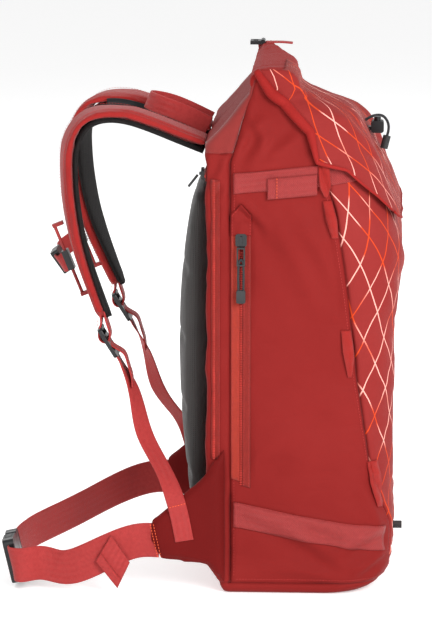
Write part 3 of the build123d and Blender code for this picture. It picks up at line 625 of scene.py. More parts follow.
def fold(a, b, start, end, wide, high):
    """Cloth fold between two places on a panel: a ridge with a shallow trough beside it, fading at its ends."""
    start, end = np.array(start, float), np.array(end, float)
    way = end - start
    long = np.hypot(*way)
    way = way / long
    along = ((a - start[0]) * way[0] + (b - start[1]) * way[1]) / long
    off = (a - start[0]) * -way[1] + (b - start[1]) * way[0]
    off = off + 0.08 * long * np.sin(np.pi * np.clip(along, 0, 1)) * 0.5
    fade = np.sin(np.pi * np.clip(along, 0, 1)) ** 0.7
    trough = 0.7 * np.exp(-((off - 1.9 * wide) / wide) ** 2)
    return FOLD_GAIN * high * fade * (np.exp(-(off / wide) ** 2) - trough)


SIDE_FOLDS = [((68, 436), (28, 398), 5, 2.4), ((66, 452), (20, 470), 7, 1.6), ((40, 434), (-30, 300), 12, 1.6),
              ((10, 430), (-46, 330), 9, 1.5), ((-28, 440), (-60, 300), 6, 1.6), ((60, 98), (-55, 34), 8, 2.6),
              ((30, 92), (-80, 60), 7, 1.5), ((66, 120), (0, 190), 12, 1.2), ((-40, 44), (-95, 75), 6, 2.2),
              ((-60, 22), (-100, 46), 5, 2.4), ((40, 30), (-60, 14), 6, 1.6), ((-70, 120), (-88, 70), 5, 1.6),
              ((58, 530), (30, 486), 6, 2.0), ((30, 520), (52, 462), 7, 1.6), ((-6, 500), (30, 478), 6, 1.4),
              ((66, 478), (34, 520), 6, 2.0), ((66, 300), (52, 200), 7, 1.0)]
REAR_FOLDS = [((74, 476), (92, 440), 4, 1.8), ((72, 470), (90, 486), 3.5, 2.0), ((76, 430), (90, 380), 5, 1.2),
              ((74, 448), (84, 424), 3, 1.8)]
FRONT_FOLDS = [((-90, 380), (-20, 300), 14, 1.4), ((80, 360), (30, 260), 14, 1.4), ((-80, 30), (60, 60), 9, 2.0),
               ((-60, 120), (40, 80), 12, 1.2), ((100, 60), (20, 30), 8, 2.0), ((-100, 200), (-70, 120), 10, 1.2)]


def relief(q, z, points):
    """How far the cloth stands off its plain form: fullness, seam grooves, puckers, folds and ripples."""
    s = np.abs(q)
    seam, rear_seam = q_of(seam_y(z), z), q_of(rear_seam_y(z), z)
    share = np.clip((s - seam) / (rear_seam - seam), 0, 1)
    full = 2.6 * np.sin(np.pi * share) * np.clip(z / 60, 0, 1) * np.clip((560 - z) / 90, 0, 1)
    rise = full - 1.2
    for line, deep in ((seam, 1.9), (rear_seam, 2.2)):
        off = s - line
        rise = rise - deep * np.exp(-(off / 2.2) ** 2) + 0.9 * np.exp(-((np.abs(off) - 6) / 4) ** 2)
        pucker = np.sin(2 * np.pi * z / 12.5 + 2.2 * np.sin(z / 31))
        rise = rise + 0.42 * pucker * np.exp(-np.abs(off) / 12) * (np.abs(off) > 0.6)
    rise = rise - 1.5 * np.exp(-((z - 12) / 2.2) ** 2)
    y = points[..., 1]
    x = points[..., 0]
    flank = np.clip((s - seam + 10) / 20, 0, 1) * np.clip((rear_seam + 4 - s) / 8, 0, 1)
    back = np.clip((s - rear_seam) / 4, 0, 1)
    face = np.clip((seam - s) / 16, 0, 1)
    drift = np.where(x > 0, 14.0, 0.0)
    for start, end, wide, high in SIDE_FOLDS:
        rise = rise + flank * fold(y + 0.4 * drift, z - drift, start, end, wide, high)
    for start, end, wide, high in REAR_FOLDS:
        rise = rise + back * fold(y, z + drift, start, end, wide, high) * (np.abs(x) > 110)
    for start, end, wide, high in FRONT_FOLDS:
        rise = rise + face * fold(x, z, start, end, wide, high)
    rise = rise + 1.5 * ripple(points, 75) + 0.5 * ripple(points + 40, 26)
    zip_run = step((15 - np.abs(y - ZIP_Y)) / 5) * step((z - 108) / 8) * step((410 - z) / 8) * (s > seam)
    rise = rise * (1 - zip_run) - 0.4 * zip_run
    low = np.clip((z - 1.5) / 14, 0, 1)
    return np.where(z > 500, rise * np.clip((556 - z) / 50, 0.2, 1), rise) * low


def on_bag(q, z, lift=0.0):
    """Point on the finished cloth of the bag, and its outward direction."""
    points, normal = place(q, z)
    return slumped(points + normal * (relief(q, z, points) + lift)[..., None]), normal


BAG_TOP = 540
HEIGHTS = np.r_[12 * (1 - np.cos(np.linspace(0, np.pi / 2, 6))), np.linspace(12, BAG_TOP, 150)[1:],
                543, 546, 549, 552, 555]


def stretch_of(*ends, counts):
    """Columns of distances round the outline: each stretch between two seams is divided evenly."""
    columns = []
    for (start, end), count in zip(zip(ends, ends[1:]), counts):
        share = np.linspace(0, 1, count + 1)[None, :]
        piece = start[:, None] * (1 - share) + end[:, None] * share
        columns.append(piece if not columns else piece[:, 1:])
    return np.concatenate(columns, axis=1)


SEAM_Q = q_of(seam_y(HEIGHTS), HEIGHTS)
REAR_Q = q_of(rear_seam_y(HEIGHTS), HEIGHTS)
FULL_Q = girth(HEIGHTS)
COUNTS = (44, 46, 40, 40, 46, 44)
COLUMNS_Q = stretch_of(FULL_Q, REAR_Q, SEAM_Q, FULL_Q * 0, -SEAM_Q, -REAR_Q, -FULL_Q, counts=COUNTS)
ROWS_Z = np.broadcast_to(HEIGHTS[:, None], COLUMNS_Q.shape)
BAG = on_bag(COLUMNS_Q, ROWS_Z)[0]
CLOTH = np.stack(np.broadcast_arrays(COLUMNS_Q, ROWS_Z), -1) * MM
EDGE = np.cumsum((0,) + COUNTS)


def panel(name, rows, columns, material, slot, *nodes):
    """Cut a panel out of the bag between two rows and two columns of its grid."""
    cut = BAG[rows[0]:rows[1] + 1, columns[0]:columns[1] + 1]
    cloth = CLOTH[rows[0]:rows[1] + 1, columns[0]:columns[1] + 1]
    thing = mesh_from(name, cut, grid_faces(*cut.shape[:2]), material, cloth)
    face_away(thing, BAG_MIDDLE)
    thicken(thing, 1.6, -1.0, shell_inner)
    return fit(thing, PACK, slot, *nodes)


TOP = len(HEIGHTS) - 1
HEM = 5
YOKE = int(np.searchsorted(HEIGHTS, 478))
GUSSET = 12
panel("side_left", (HEM, TOP), (EDGE[1], EDGE[2]), shell, "shell_red", "left_side_panel")
panel("side_right", (HEM, TOP), (EDGE[4], EDGE[5]), shell, "shell_red", "right_side_panel")
panel("front_face", (HEM, TOP), (EDGE[2], EDGE[4]), printed, "printed_red", "front_panel")
panel("back_left", (HEM, YOKE), (EDGE[0], EDGE[1]), shell, "shell_red", "rear_panel")
panel("back_right", (HEM, YOKE), (EDGE[5], EDGE[6]), shell, "shell_red")
panel("gusset_left", (YOKE, TOP), (EDGE[1] - GUSSET, EDGE[1]), matte, "matte_red", "top_gussets")
panel("gusset_right", (YOKE, TOP), (EDGE[5], EDGE[5] + GUSSET), matte, "matte_red")
panel("yoke_left", (YOKE, TOP), (EDGE[0], EDGE[1] - GUSSET), shell, "shell_red", "top_yoke")
panel("yoke_right", (YOKE, TOP), (EDGE[5] + GUSSET, EDGE[6]), shell, "shell_red")

rim = BAG[:HEM + 1]
base_middle = np.array([0, -6, 0.0])
floor_rings = [base_middle + (BAG[0] - base_middle) * k for k in np.linspace(0.02, 0.97, 14)]
base_grid = np.concatenate([np.array(floor_rings), rim])
base_uv = base_grid[..., :2] * MM
base = mesh_from("base_tray", base_grid, grid_faces(*base_grid.shape[:2], cap=False), shell, base_uv)
outward(base)
thicken(base, 1.6, -1.0, shell_inner)
fit(base, PACK, "shell_red", "base_panel")


# Storm flap: a sheet on the same outline, standing off it, that wraps the roll's ends

FLAP_LOW = 404
HEM_VIEW = np.array([(-110, 403), (-83, 434), (-66, 449), (-51, 464), (-22, 473), (-16, 506), (7, 531),
                     (44, 570)], float)
FLAP_Z = np.r_[np.linspace(FLAP_LOW, BAG_TOP, 66), np.linspace(542, 567, 12)]


FLAP_OFF, FLAP_EASE = 4.6, 4.8


def flap_form(z):
    """Front, half width and corner radius of the storm flap at a height, over the bag and round the roll."""
    over = np.interp(z, [BAG_TOP, 546, 556, 562, 565, 567], [front_of(BAG_TOP) - FLAP_OFF, -9, -7, -3, 3, 9])
    front = np.where(z > BAG_TOP, over, front_of(z) - FLAP_OFF)
    ends = np.interp(z, [BAG_TOP, 560, 567], [half_of(BAG_TOP) + FLAP_EASE, 121, 118])
    half = np.where(z > BAG_TOP, ends, half_of(z) + FLAP_EASE)
    return front, half, np.where(z <= 536, corner_of(z), np.interp(z, [536, 547], [corner_of(536.0), 6]))


def flap_place(q, z):
    """Point and outward direction on the storm flap at a distance q from its middle line."""
    q, z = np.broadcast_arrays(np.asarray(q, float), np.asarray(z, float))
    front, half, corner = flap_form(z)
    side = np.where(q < 0, 1.0, -1.0)
    s = np.abs(q)
    first = half - corner
    turn = np.clip((s - first) / corner, 0, np.pi / 2)
    x = np.minimum(s, first) + corner * np.sin(turn)
    y = front + corner * (1 - np.cos(turn)) + np.clip(s - first - corner * np.pi / 2, 0, None)
    normal = np.stack([side * np.sin(turn), -np.cos(turn), np.zeros_like(z)], -1)
    return np.stack([side * x, y, z], -1), normal


def flap_reach(z):
    """Distance from the flap's middle line to its hem at a height."""
    return round_to(np.interp(z, HEM_VIEW[:, 1], HEM_VIEW[:, 0]), *flap_form(z))


FLAP_FOLDS = [((-110, 520), (-70, 440), 8, 1.8), ((-60, 545), (-95, 470), 7, 1.6), ((40, 430), (90, 520), 10, 1.5),
              ((100, 540), (60, 450), 8, 1.5), ((-30, 420), (30, 470), 14, 1.2)]


def flap_relief(z, points, share):
    """Fullness of the flap: it flares at its hem, ripples along it and holds slanting folds."""
    rise = 1.2 + 0.9 * ripple(points + 90, 60) + 0.3 * ripple(points + 10, 22)
    flare = np.clip((share - 0.8) / 0.2, 0, 1) ** 2 * np.clip((520 - z) / 60, 0, 1)
    rise = rise + 1.2 * flare * step((z - FLAP_LOW) / 30)
    ruffle = np.sin(z / 3.6 + 3 * np.sin(z / 40)) * np.exp(-(1 - share) * 14)
    rise = rise + 0.5 * ruffle * step((z - 415) / 30)
    for start, end, wide, high in FLAP_FOLDS:
        rise = rise + fold(points[..., 0], z, start, end, wide, high)
    return rise * np.clip((569 - z) / 20, 0, 1)


SHARES = np.linspace(-1, 1, 121)
flap_q = flap_reach(FLAP_Z)[:, None] * SHARES[None]
flap_z = np.broadcast_to(FLAP_Z[:, None], flap_q.shape)
flap_points, flap_normal = flap_place(flap_q, flap_z)
flap_grid = flap_points + flap_normal * flap_relief(flap_z, flap_points, np.abs(SHARES)[None])[..., None]
flap_grid = slumped(pinched(flap_grid))
lean = np.radians(32) * step(np.abs(flap_q) / 130)
set_back = flap_form(FLAP_Z)[0] - flap_form(FLAP_LOW)[0]
slope_up = np.r_[0, np.cumsum(np.hypot(np.diff(set_back), np.diff(FLAP_Z)))]
on_side = step((np.abs(flap_q) - 60) / 55)
along = np.abs(flap_q) + on_side * set_back[:, None] - 85
up = slope_up[:, None] * (1 - on_side) + (flap_z - FLAP_LOW) * on_side - 90
printed_u = np.sign(flap_q + 1e-9) * 1.27 * (along * np.cos(lean) - up * np.sin(lean))
printed_v = 0.9 * (along * np.sin(lean) + up * np.cos(lean))
flap = mesh_from("storm_flap", flap_grid, grid_faces(*flap_grid.shape[:2]), printed,
                 np.stack([printed_u, printed_v], -1) * MM)
face_away(flap, (0, 20, 450))
thicken(flap, 1.2, -1.0, shell_inner)
fit(flap, LID, "printed_red", "lid_flap")


def hem_tube(name, path, normal, radius, material, body, slot):
    """Rolled hem: a soft tube along an edge, its radius given at every step."""
    way = np.gradient(path, axis=0)
    way /= np.linalg.norm(way, axis=1)[:, None]
    up = normal - way * (normal * way).sum(1)[:, None]
    up /= np.linalg.norm(up, axis=1)[:, None]
    side = np.cross(way, up)
    turn = np.linspace(0, 2 * np.pi, 13)[:-1]
    loop = np.cos(turn)[None, :, None] * up[:, None] + np.sin(turn)[None, :, None] * side[:, None]
    grid = path[:, None] + loop * radius[:, None, None]
    length = np.r_[0, np.cumsum(np.linalg.norm(np.diff(path, axis=0), axis=1))]
    uv = np.stack(np.broadcast_arrays(length[:, None], (turn * 3)[None]), -1) * MM
    return fit(outward(mesh_from(name, grid, grid_faces(len(path), 12, True, True), material, uv)), body, slot)


# The rolled hems take the roll's lightened red, painted light
for mark, column in (("left", -1), ("right", 0)):
    path = flap_grid[:, column][6:]
    normal = flap_normal[:, column][6:]
    radius = np.interp(path[:, 2], [404, 462, 478, 510, 545, 567], [1.2, 1.6, 3.0, 5.6, 6.2, 4.0])
    drop = np.array([0, 0.75, -0.66]) * (radius - 1.2)[:, None]
    hem_tube(f"flap_rolled_edge_{mark}", path + normal * 0.4 + drop, normal, radius, roll_shell_lit, LID,
             "printed_red")
path = np.concatenate([flap_grid[1:6, 0][::-1], flap_grid[0], flap_grid[1:6, -1]])
normal = np.concatenate([flap_normal[1:6, 0][::-1], flap_normal[0], flap_normal[1:6, -1]])
hem_tube("flap_bound_edge", path, normal, np.full(len(path), 1.3), roll_shell_lit, LID, "printed_red")

# Roll of the mouth
x = np.linspace(-115.5, 117.5, 120)
turn = np.linspace(0, 2 * np.pi, 49)[:-1]
ROLL_Y, ROLL_Z = 21, 553.4
round_off = np.clip(1 - (np.abs(x) / 117.5) ** 24, 0, None) ** 0.5 * 0.12 + 0.88
c, s = np.cos(turn), np.sin(turn)
wide = np.where(c > 0, 31, 25.8) * np.sign(c) * np.abs(c) ** 0.62
tall = 12.6 * np.sign(s) * np.abs(s) ** 0.72
grid = np.empty((120, 48, 3))
grid[..., 0] = x[:, None]
grid[..., 1] = ROLL_Y + wide[None] * round_off[:, None]
raised = 3.2 * step((x - 30) / 70)[:, None] * np.clip(s, 0, 1)[None]
grid[..., 2] = ROLL_Z + tall[None] * round_off[:, None] + raised
dent = 0.5 * ripple(grid, 40) + 0.35 * ripple(grid + 70, 14)
for at, deep in ((-98, 1.4), (-70, 0.8), (60, 0.8), (88, 1.6), (104, 1.2)):
    dent = dent - deep * np.exp(-((x[:, None] - at + 0.25 * (grid[..., 1] - ROLL_Y)) / 3.2) ** 2)
overlap = np.exp(-((grid[..., 1] - 34) / 1.4) ** 2) * (grid[..., 2] > 556) * -1.1
centre = np.stack([x, np.full_like(x, ROLL_Y), np.full_like(x, ROLL_Z)], -1)[:, None]
out = grid - centre
out[..., 0] = 0
out /= np.linalg.norm(out, axis=-1)[..., None] + 1e-9
grid = pinched(grid + out * (dent + overlap - 0.6)[..., None])
# The roll takes the shell red lightened as painted light
roll = outward(mesh_from("mouth_roll", grid, grid_faces(120, 48, True, True), roll_shell_lit))
fit(roll, LID, "shell_red", "lid_roll")


# Webbing and trims that lie on the bag

def mirrored(side, vectors):
    """The left side's points or directions, turned to the wearer's right where side is 1."""
    return vectors * np.array([-side, 1, 1.0])


def cover(name, q, z, lift, uv, thick, material, slot, *nodes, side=-1):
    """Thin cloth on the bag over a grid of distances round it and heights, at a lift off its surface."""
    points, normal = (mirrored(side, vectors) for vectors in on_bag(q, z, lift))
    uv = np.stack(np.broadcast_arrays(*uv), -1) * MM
    thing = mesh_from(name, points, grid_faces(*points.shape[:2]), material, uv)
    face_away(thing, BAG_MIDDLE)
    thicken(thing, thick, 1.0)
    fit(thing, PACK, slot, *nodes)
    return points, normal


def laid(name, y0, y1, z0, z1, height, side, lift, thick, material, slot, *nodes, count=60):
    """Strip on the bag's side between two distances back, its lower edge running from z0 to z1."""
    share = np.linspace(0, 1, count)
    across = np.linspace(0, 1, 9)
    y = y0 + (y1 - y0) * share[:, None]
    z = z0 + (z1 - z0) * share[:, None] + height * across[None]
    y, z = np.broadcast_arrays(y, z)
    uv = (y1 - y0) * share[:, None], height * (across[None] - 0.5)
    return cover(name, q_of(y, z), z, lift, uv, thick, material, slot, *nodes, side=side)


GEAR_LOOPS = (((473, 460, 445, 435), (-21.6, -22, -24, -29), (-32.2, -33.4, -35, -31.5), 2.3),
              ((430, 409, 391), (-27, -31, -37), (-36, -42, -43), 0.4),
              ((291, 268, 240), (-47, -49, -55), (-57, -60, -59), 0.4),
              ((146, 122, 94), (-75.5, -79, -87), (-86, -90, -92), 0.4))
orange_rows, red_rows = [], []


def row_on(points, normal, first, second, lift):
    """Line of stitching across or along a laid strip, lifted to its face."""
    line = points[first, second]
    way = normal[first, second]
    return line + way * lift, way


for side, mark in ((-1, "left"), (1, "right")):
    points, normal = laid(f"ski_strap_upper_{mark}", -62, 67, 450, 437, 22, side, 0.2, 1.7, web_wide,
                          "webbing_red", f"{mark}_ski_strap_upper")
    points, normal = laid(f"ski_strap_tail_{mark}", -21, 31, 437, 432, 22, side, 2.0, 1.7, web_wide,
                          "webbing_red")
    column = np.full(9, 48)
    orange_rows.append(row_on(points, normal, column, np.arange(9), 2.0))
    laid(f"ski_strap_hem_{mark}", 23, 31, 433, 432.4, 21.5, side, 3.7, 1.2, web_wide, "webbing_red", count=12)
    points, normal = laid(f"ski_strap_lower_{mark}", -94, 67, 45, 75, 27, side, 0.2, 1.7, web_wide,
                          "webbing_red", f"{mark}_ski_strap_lower")
    red_rows.append(row_on(points, normal, np.arange(60), np.full(60, 8), 1.9))
    red_rows.append(row_on(points, normal, np.full(9, 57), np.arange(9), 1.9))
    for number, (heights, backs, fronts, lift) in enumerate(GEAR_LOOPS):
        share = np.linspace(0, 1, 40)[:, None]
        z0, z1 = heights[0], heights[-1]
        z = z0 + (z1 - z0) * share
        back = np.interp(-z, -np.array(heights), backs)
        ahead = np.interp(-z, -np.array(heights), fronts)
        across = np.linspace(-0.5, 0.5, 7)[None]
        width = back - ahead
        y = (back + ahead) / 2 + width * across
        z = z + 0 * y
        rise = lift + 2.6 * np.sin(np.pi * share) ** 0.7 * (1 - 0.5 * across)
        cover(f"gear_loop_{mark}_{number}", q_of(y, z), z, rise, ((z0 - z1) * share, width * across), 1.1,
              ribbon_red, "webbing_red", *(["gear_loops"] if (side, number) == (-1, 0) else []), side=side)

# Stitching along the seams of the bag
for side in (-1, 1):
    heights = np.linspace(20, 470, 160)
    for seam, off in ((rear_seam_y, -4.5), (seam_y, 4.5)):
        q = q_of(seam(heights), heights) + off
        points, normal = on_bag(q * -side, heights, 0.15)
        red_rows.append((points, normal))
    q = np.linspace(20, q_of(66.0, np.array(16.0)), 120)
    points, normal = on_bag(q * -side, np.full(120, 16.5), 0.1)
    red_rows.append((points, normal))

# Side pocket zip: two strips of tape with the coil between them
TAPE_THICK, TAPE_FACE = 0.9, 1.05
ZIP_TOP = 395
# The back tape takes the lighter copy of the tape colour, painted light
for name, inner, outer, low, material, nodes in (
        ("zip_tape_front", 49, 57.6, 118, tape_red, ["side_zip_tape"]),
        ("zip_tape_back", 60.4, 69.5, 122, tape_lit, [])):
    y = inner + (outer - inner) * np.linspace(0, 1, 6)[None]
    z = low + (y - 49) * 0.3 + (ZIP_TOP - low) * np.linspace(0, 1, 90)[:, None]
    lift = 0.35 + 0.5 * np.exp(-((y - ZIP_Y) / 3) ** 2)
    points, normal = cover(name, q_of(y, z), z, lift, (z, y), TAPE_THICK, material, "zip_red", *nodes)
    for column in (1, 4):
        red_rows.append(row_on(points, normal, slice(None), column, TAPE_FACE))


def coil(name, line, normal, side, material, body, slot, pitch=1.9, wide=1.5):
    """Zip coil: a row of low rounded teeth either side of a centre line."""
    length = np.r_[0, np.cumsum(np.linalg.norm(np.diff(line, axis=0), axis=1))]
    at = np.arange(0, length[-1], pitch)
    centre = np.stack([np.interp(at, length, column) for column in line.T], -1)
    up = np.stack([np.interp(at, length, column) for column in normal.T], -1)
    flat = np.stack([np.interp(at, length, column) for column in side.T], -1)
    way = np.cross(up, flat)
    turn = np.arange(8) * np.pi / 4
    rings = []
    for reach, size in ((-wide, 0.15), (-0.7 * wide, 0.62), (0.7 * wide, 0.62), (wide, 0.15)):
        ring = flat[:, None] * reach + way[:, None] * (np.cos(turn) * size)[None, :, None]
        rings.append(centre[:, None] + ring + up[:, None] * (np.sin(turn) * size + 0.5)[None, :, None])
    points = np.stack(rings, 1)
    one = np.array(grid_faces(4, 8, loop=True))
    faces = (one[None] + np.arange(len(at))[:, None, None] * 32).reshape(-1, 4).tolist()
    return fit(outward(mesh_from(name, points, faces, material)), body, slot)


z = np.linspace(122, 376, 120)
line, away = on_bag(q_of(np.full(120, ZIP_Y), z), z, 0.5)
coil("side_zip_coil", line, away, np.cross(away, UP), coil_red, PACK, "zip_red")

share = np.linspace(0, 1, 30)
across = np.linspace(-1, 1, 17)
y = ZIP_Y + 10.8 * across[None] + 0 * share[:, None]
z = 393 + share[:, None] * (34 - 13 * np.abs(across[None]))
lift = 1.5 + 2.2 * np.exp(-(across[None] / 0.5) ** 2) * np.exp(-(share[:, None] / 0.5) ** 2)
points, normal = cover("zip_garage", q_of(y, z), z, lift, (y, z), 1.3, shell, "shell_red")
for row, column in ((slice(None), 1), (slice(None), 15), (27, slice(None))):
    red_rows.append(row_on(points, normal, row, column, 1.4))

# Back opening zip: up both rear edges and across under the yoke
for side, mark in ((-1, "left"), (1, "right")):
    z = np.linspace(150, 452, 110)[:, None]
    y = np.linspace(82, 91, 6)[None]
    y, z = np.broadcast_arrays(y, z)
    points, normal = cover(f"back_zip_tape_{mark}", q_of(y, z), z, 0.4, (z, y), TAPE_THICK, tape_red,
                           "zip_red", *(["back_zip_tape"] if side < 0 else []), side=side)
    lane = on_bag(q_of(np.full(110, 88.0), z[:, 0]), z[:, 0], 1.0)
    line, away = (mirrored(side, vectors) for vectors in lane)
    coil(f"back_zip_coil_{mark}", line, away, np.cross(away, UP), coil_red, PACK, "zip_red")
    for column in (0, 3):
        red_rows.append(row_on(points, normal, slice(None), column, TAPE_FACE))
CROSS_Z = 454.0
x = np.linspace(-128, 128, 120)
q = (girth(CROSS_Z) - np.abs(x)) * np.where(x < 0, 1, -1)
z = np.linspace(CROSS_Z - 5, CROSS_Z + 5, 6)[None] + 0 * x[:, None]
cover("back_zip_tape_top", q[:, None] + 0 * z, z, 0.3, (x[:, None], z), TAPE_THICK, tape_red, "zip_red")
line, away = on_bag(q, np.full(120, CROSS_Z), 0.9)
coil("back_zip_coil_top", line, away, np.broadcast_to(UP, line.shape), coil_red, PACK, "zip_red")


# Padded pieces

def swollen(thing, voxel, pressure, cap, sim_frames=20):
    """Remesh a closed form, swell it by a short cloth simulation held within a cap, and smooth it."""
    again = thing.modifiers.new("even mesh", "REMESH")
    again.mode = "VOXEL"
    again.voxel_size = voxel * MM
    scene = bpy.context.scene
    graph = bpy.context.evaluated_depsgraph_get()
    mesh = bpy.data.meshes.new_from_object(thing.evaluated_get(graph))
    thing.modifiers.clear()
    thing.data = mesh
    start = np.empty(len(mesh.vertices) * 3)
    mesh.vertices.foreach_get("co", start)
    cloth = thing.modifiers.new("fill", "CLOTH")
    cloth.settings.use_pressure = True
    cloth.settings.uniform_pressure_force = pressure
    cloth.settings.effector_weights.gravity = 0
    cloth.point_cache.frame_start = 1
    cloth.point_cache.frame_end = sim_frames
    for number in range(1, sim_frames + 1):
        scene.frame_set(number)
    graph = bpy.context.evaluated_depsgraph_get()
    shown = thing.evaluated_get(graph).to_mesh()
    end = np.empty(len(mesh.vertices) * 3)
    shown.vertices.foreach_get("co", end)
    move = (end - start).reshape(-1, 3)
    size = np.linalg.norm(move, axis=1)[:, None] + 1e-12
    move *= np.minimum(size, cap * MM) / size
    thing.modifiers.clear()
    mesh.vertices.foreach_set("co", (start.reshape(-1, 3) + move).ravel())
    scene.frame_set(1)
    finer = thing.modifiers.new("finer", "SUBSURF")
    finer.levels = finer.render_levels = 1
    graph = bpy.context.evaluated_depsgraph_get()
    mesh = bpy.data.meshes.new_from_object(thing.evaluated_get(graph))
    thing.modifiers.clear()
    thing.data = mesh
    mesh.polygons.foreach_set("use_smooth", np.full(len(mesh.polygons), True))
    mesh.update()
    return thing


def sew(thing, lines, deep=1.6, wide=2.2):
    """Sewn channels: press the surface in along lines, deepest on the line."""
    mesh = thing.data
    co = np.empty(len(mesh.vertices) * 3)
    mesh.vertices.foreach_get("co", co)
    co = co.reshape(-1, 3)
    normals = np.empty(len(mesh.vertices) * 3)
    mesh.vertices.foreach_get("normal", normals)
    marks = np.concatenate(lines) * MM
    nearest = np.full(len(co), 1.0)
    for start in range(0, len(marks), 40):
        gap = np.linalg.norm(co[:, None] - marks[None, start:start + 40], axis=-1).min(1)
        nearest = np.minimum(nearest, gap)
    press = deep * MM * np.exp(-(nearest / (wide * MM)) ** 2)
    mesh.vertices.foreach_set("co", (co - normals.reshape(-1, 3) * press[:, None]).ravel())
    mesh.update()
    return thing


def tube_form(name, points, side, face, half_width, half_thick, power, material, around=40):
    """Closed padded form: a superellipse carried along a line, drawn in roundly at both ends."""
    turn = np.linspace(0, 2 * np.pi, around + 1)[:-1]
    c, s = np.cos(turn), np.sin(turn)
    a = np.sign(c) * np.abs(c) ** (2 / power)
    b = np.sign(s) * np.abs(s) ** (2 / power)
    grid = points[:, None] + side[:, None] * (a[None] * half_width[:, None])[..., None] \
        + face[:, None] * (b[None] * half_thick[:, None])[..., None]
    return outward(mesh_from(name, grid, grid_faces(len(points), around, True, True), material))


STRAP_TURN = [0, 0, 0.03, 0.08, 0.15, 0.2, 0.22, 0.2, 0.16, 0.1, 0.05]
STRAP_SHARES = np.array([1, 1, 1, 1, 1, 1, 0.96, 0.86, 0.66, 0.3, 0])
STRAP_ROUTE = [(55, 92, 477), (55, 130, 492), (58, 165, 506), (62, 200, 514), (66, 230, 507), (70, 247, 483),
               (74, 250, 450), (79, 245, 405), (86, 234, 360), (93, 218, 320), (98, 207, 294)]

for side, mark in ((-1, "left"), (1, "right")):
    route = [(side * x, y, z) for x, y, z in STRAP_ROUTE]
    sides = [(1, -side * t, 0) for t in STRAP_TURN]
    widths = 34 + 24 * STRAP_SHARES
    points, ways, across, face, width = strap_frame(route, sides, widths, 150)
    keep = slice(3, None)
    end = np.linspace(0, 1, 150)
    draw = np.clip((1 - end) / 0.02, 0.25, 1) ** 0.5
    lay = points[keep], across[keep], face[keep]
    pad_end = step((end - 0.8) / 0.2)
    form = tube_form(f"shoulder_strap_{mark}", *lay, ((width / 2 - 1.2) * draw)[keep],
                     ((4.6 + 0.8 * pad_end) * draw)[keep], 3.2, strap_cloth)
    form = swollen(form, 4, 4, 1.6)
    rows = [points + across * (width / 2 * k)[:, None] + face * (-5.6) for k in (-0.74, 0.74)]
    rows += [points + across * (width / 2 * k)[:, None] + face * 5.6 for k in (-0.74, 0.74)]
    sew(form, rows, 1.5, 2.0)
    fit(form, PACK, "shell_red", f"{mark}_shoulder_strap")
    for k in (-0.74, 0.74):
        seam = across * (width / 2 * k)[:, None] + face * (-4.9)
        red_rows.append((points[6:-3] + seam[6:-3], -face[6:-3]))
    lining_line = points + face * (7.9 - 2.7 * pad_end)[:, None]
    thing = tube_form(f"strap_lining_{mark}", lining_line[keep], *lay[1:], ((width / 2 - 3.2) * draw)[keep],
                      np.full(150, 3.0)[keep], 3.5, lining_black, around=28)
    fit(thing, PACK, "mesh_black", f"{mark}_strap_lining")
    edge = points + across * (-side * (width / 2 - 0.4))[:, None] + face * 3.6
    trim, _ = band(f"strap_trim_{mark}", edge[14:52:4], [(0, 0, 1)] * 10, [7.0] * 10, 1.4, trim_web, count=50)
    fit(trim, PACK, "mesh_black")

# Back pad: two rows of foam with sewn channels between them
z = np.linspace(60, 436, 120)
level = (z - 60) / 376
arch = 12 + 17 * (1 - ((level - 0.55) / np.where(level < 0.55, 0.55, 0.45)) ** 2)
draw = np.clip(np.minimum(level, 1 - level) / 0.03, 0, 1) ** 0.5
points = np.stack([0 * z, 98.6 + arch / 2, z], -1)
ones = np.ones_like(z)
form = tube_form("foam_back_pad", points, np.stack([ones, 0 * z, 0 * z], -1),
                 np.stack([0 * z, ones, 0 * z], -1), (94 - 5 * np.abs(level - 0.5)) * (0.9 + 0.1 * draw),
                 (arch / 2 - 0.6) * (0.45 + 0.55 * draw), 4.5, foam_grey, around=64)
form = swollen(form, 6, 3, 2.5)
channels = []
x = np.linspace(-88, 88, 90)
for at in (0.2, 0.4, 0.6, 0.8):
    height = 60 + 376 * at
    k = int(at * 119)
    channels.append(np.stack([x, 0 * x + 98.6 + arch[k], 0 * x + height - 6 * (np.abs(x) / 88) ** 2 * 3], -1))
for at in (-30, 30):
    channels.append(np.stack([0 * z + at, 98.6 + arch, z], -1)[8:-8])
sew(form, channels, 3.2, 5)
fit(form, PACK, "pad_grey", "back_pad")

# Hip wings
WING_TOP = np.array([(71, 169), (104, 132), (118, 119), (155, 87), (160, 79)], float)
WING_LOW = np.array([(71, 2), (78, 12), (89, 27), (102, 31), (148, 36), (153, 41), (160, 77)], float)
for side, mark in ((-1, "left"), (1, "right")):
    y = np.linspace(72.5, 157.5, 60)
    top = eased(WING_TOP[:, 1], WING_TOP[:, 0], y) - 1.2
    low = eased(WING_LOW[:, 1], WING_LOW[:, 0], y) + 1.2
    slim = np.interp(y, [72, 84, 150, 158], [2.2, 4.6, 4.6, 3.4])
    points = np.stack([0 * y + side * (138.2 + slim), y, (top + low) / 2], -1)
    # Wing cloth is the shell red darkened as painted shade
    form = tube_form(f"hip_wing_{mark}", points, np.stack([0 * y, 0 * y, 0 * y + 1], -1),
                     np.stack([0 * y + 1, 0 * y, 0 * y], -1), (top - low) / 2, slim, 4.0, wing_shell_shaded, around=56)
    form = swollen(form, 5, 4, 2.2)
    face_x = side * 148
    seam = np.stack([0 * y + face_x, y, top - 6], -1)
    seam_low = np.stack([0 * y + face_x, y, low + 6], -1)
    t = np.linspace(0, 1, 40)
    end_seam = np.stack([0 * t + face_x, 156 - 8 * t, 80 - 36 * t], -1)
    sew(form, [seam[2:], seam_low[2:]], 1.0, 2.2)
    fit(form, PACK, "shell_red", f"{mark}_hip_wing")
    out = np.broadcast_to(np.array([side * 1.0, 0, 0]), end_seam.shape)
    orange_rows.append((end_seam + out * 0.6, out))
    orange_rows.append((end_seam + out * 0.6 + np.array([0, -3.4, 0]), out))


# Webbing that hangs free

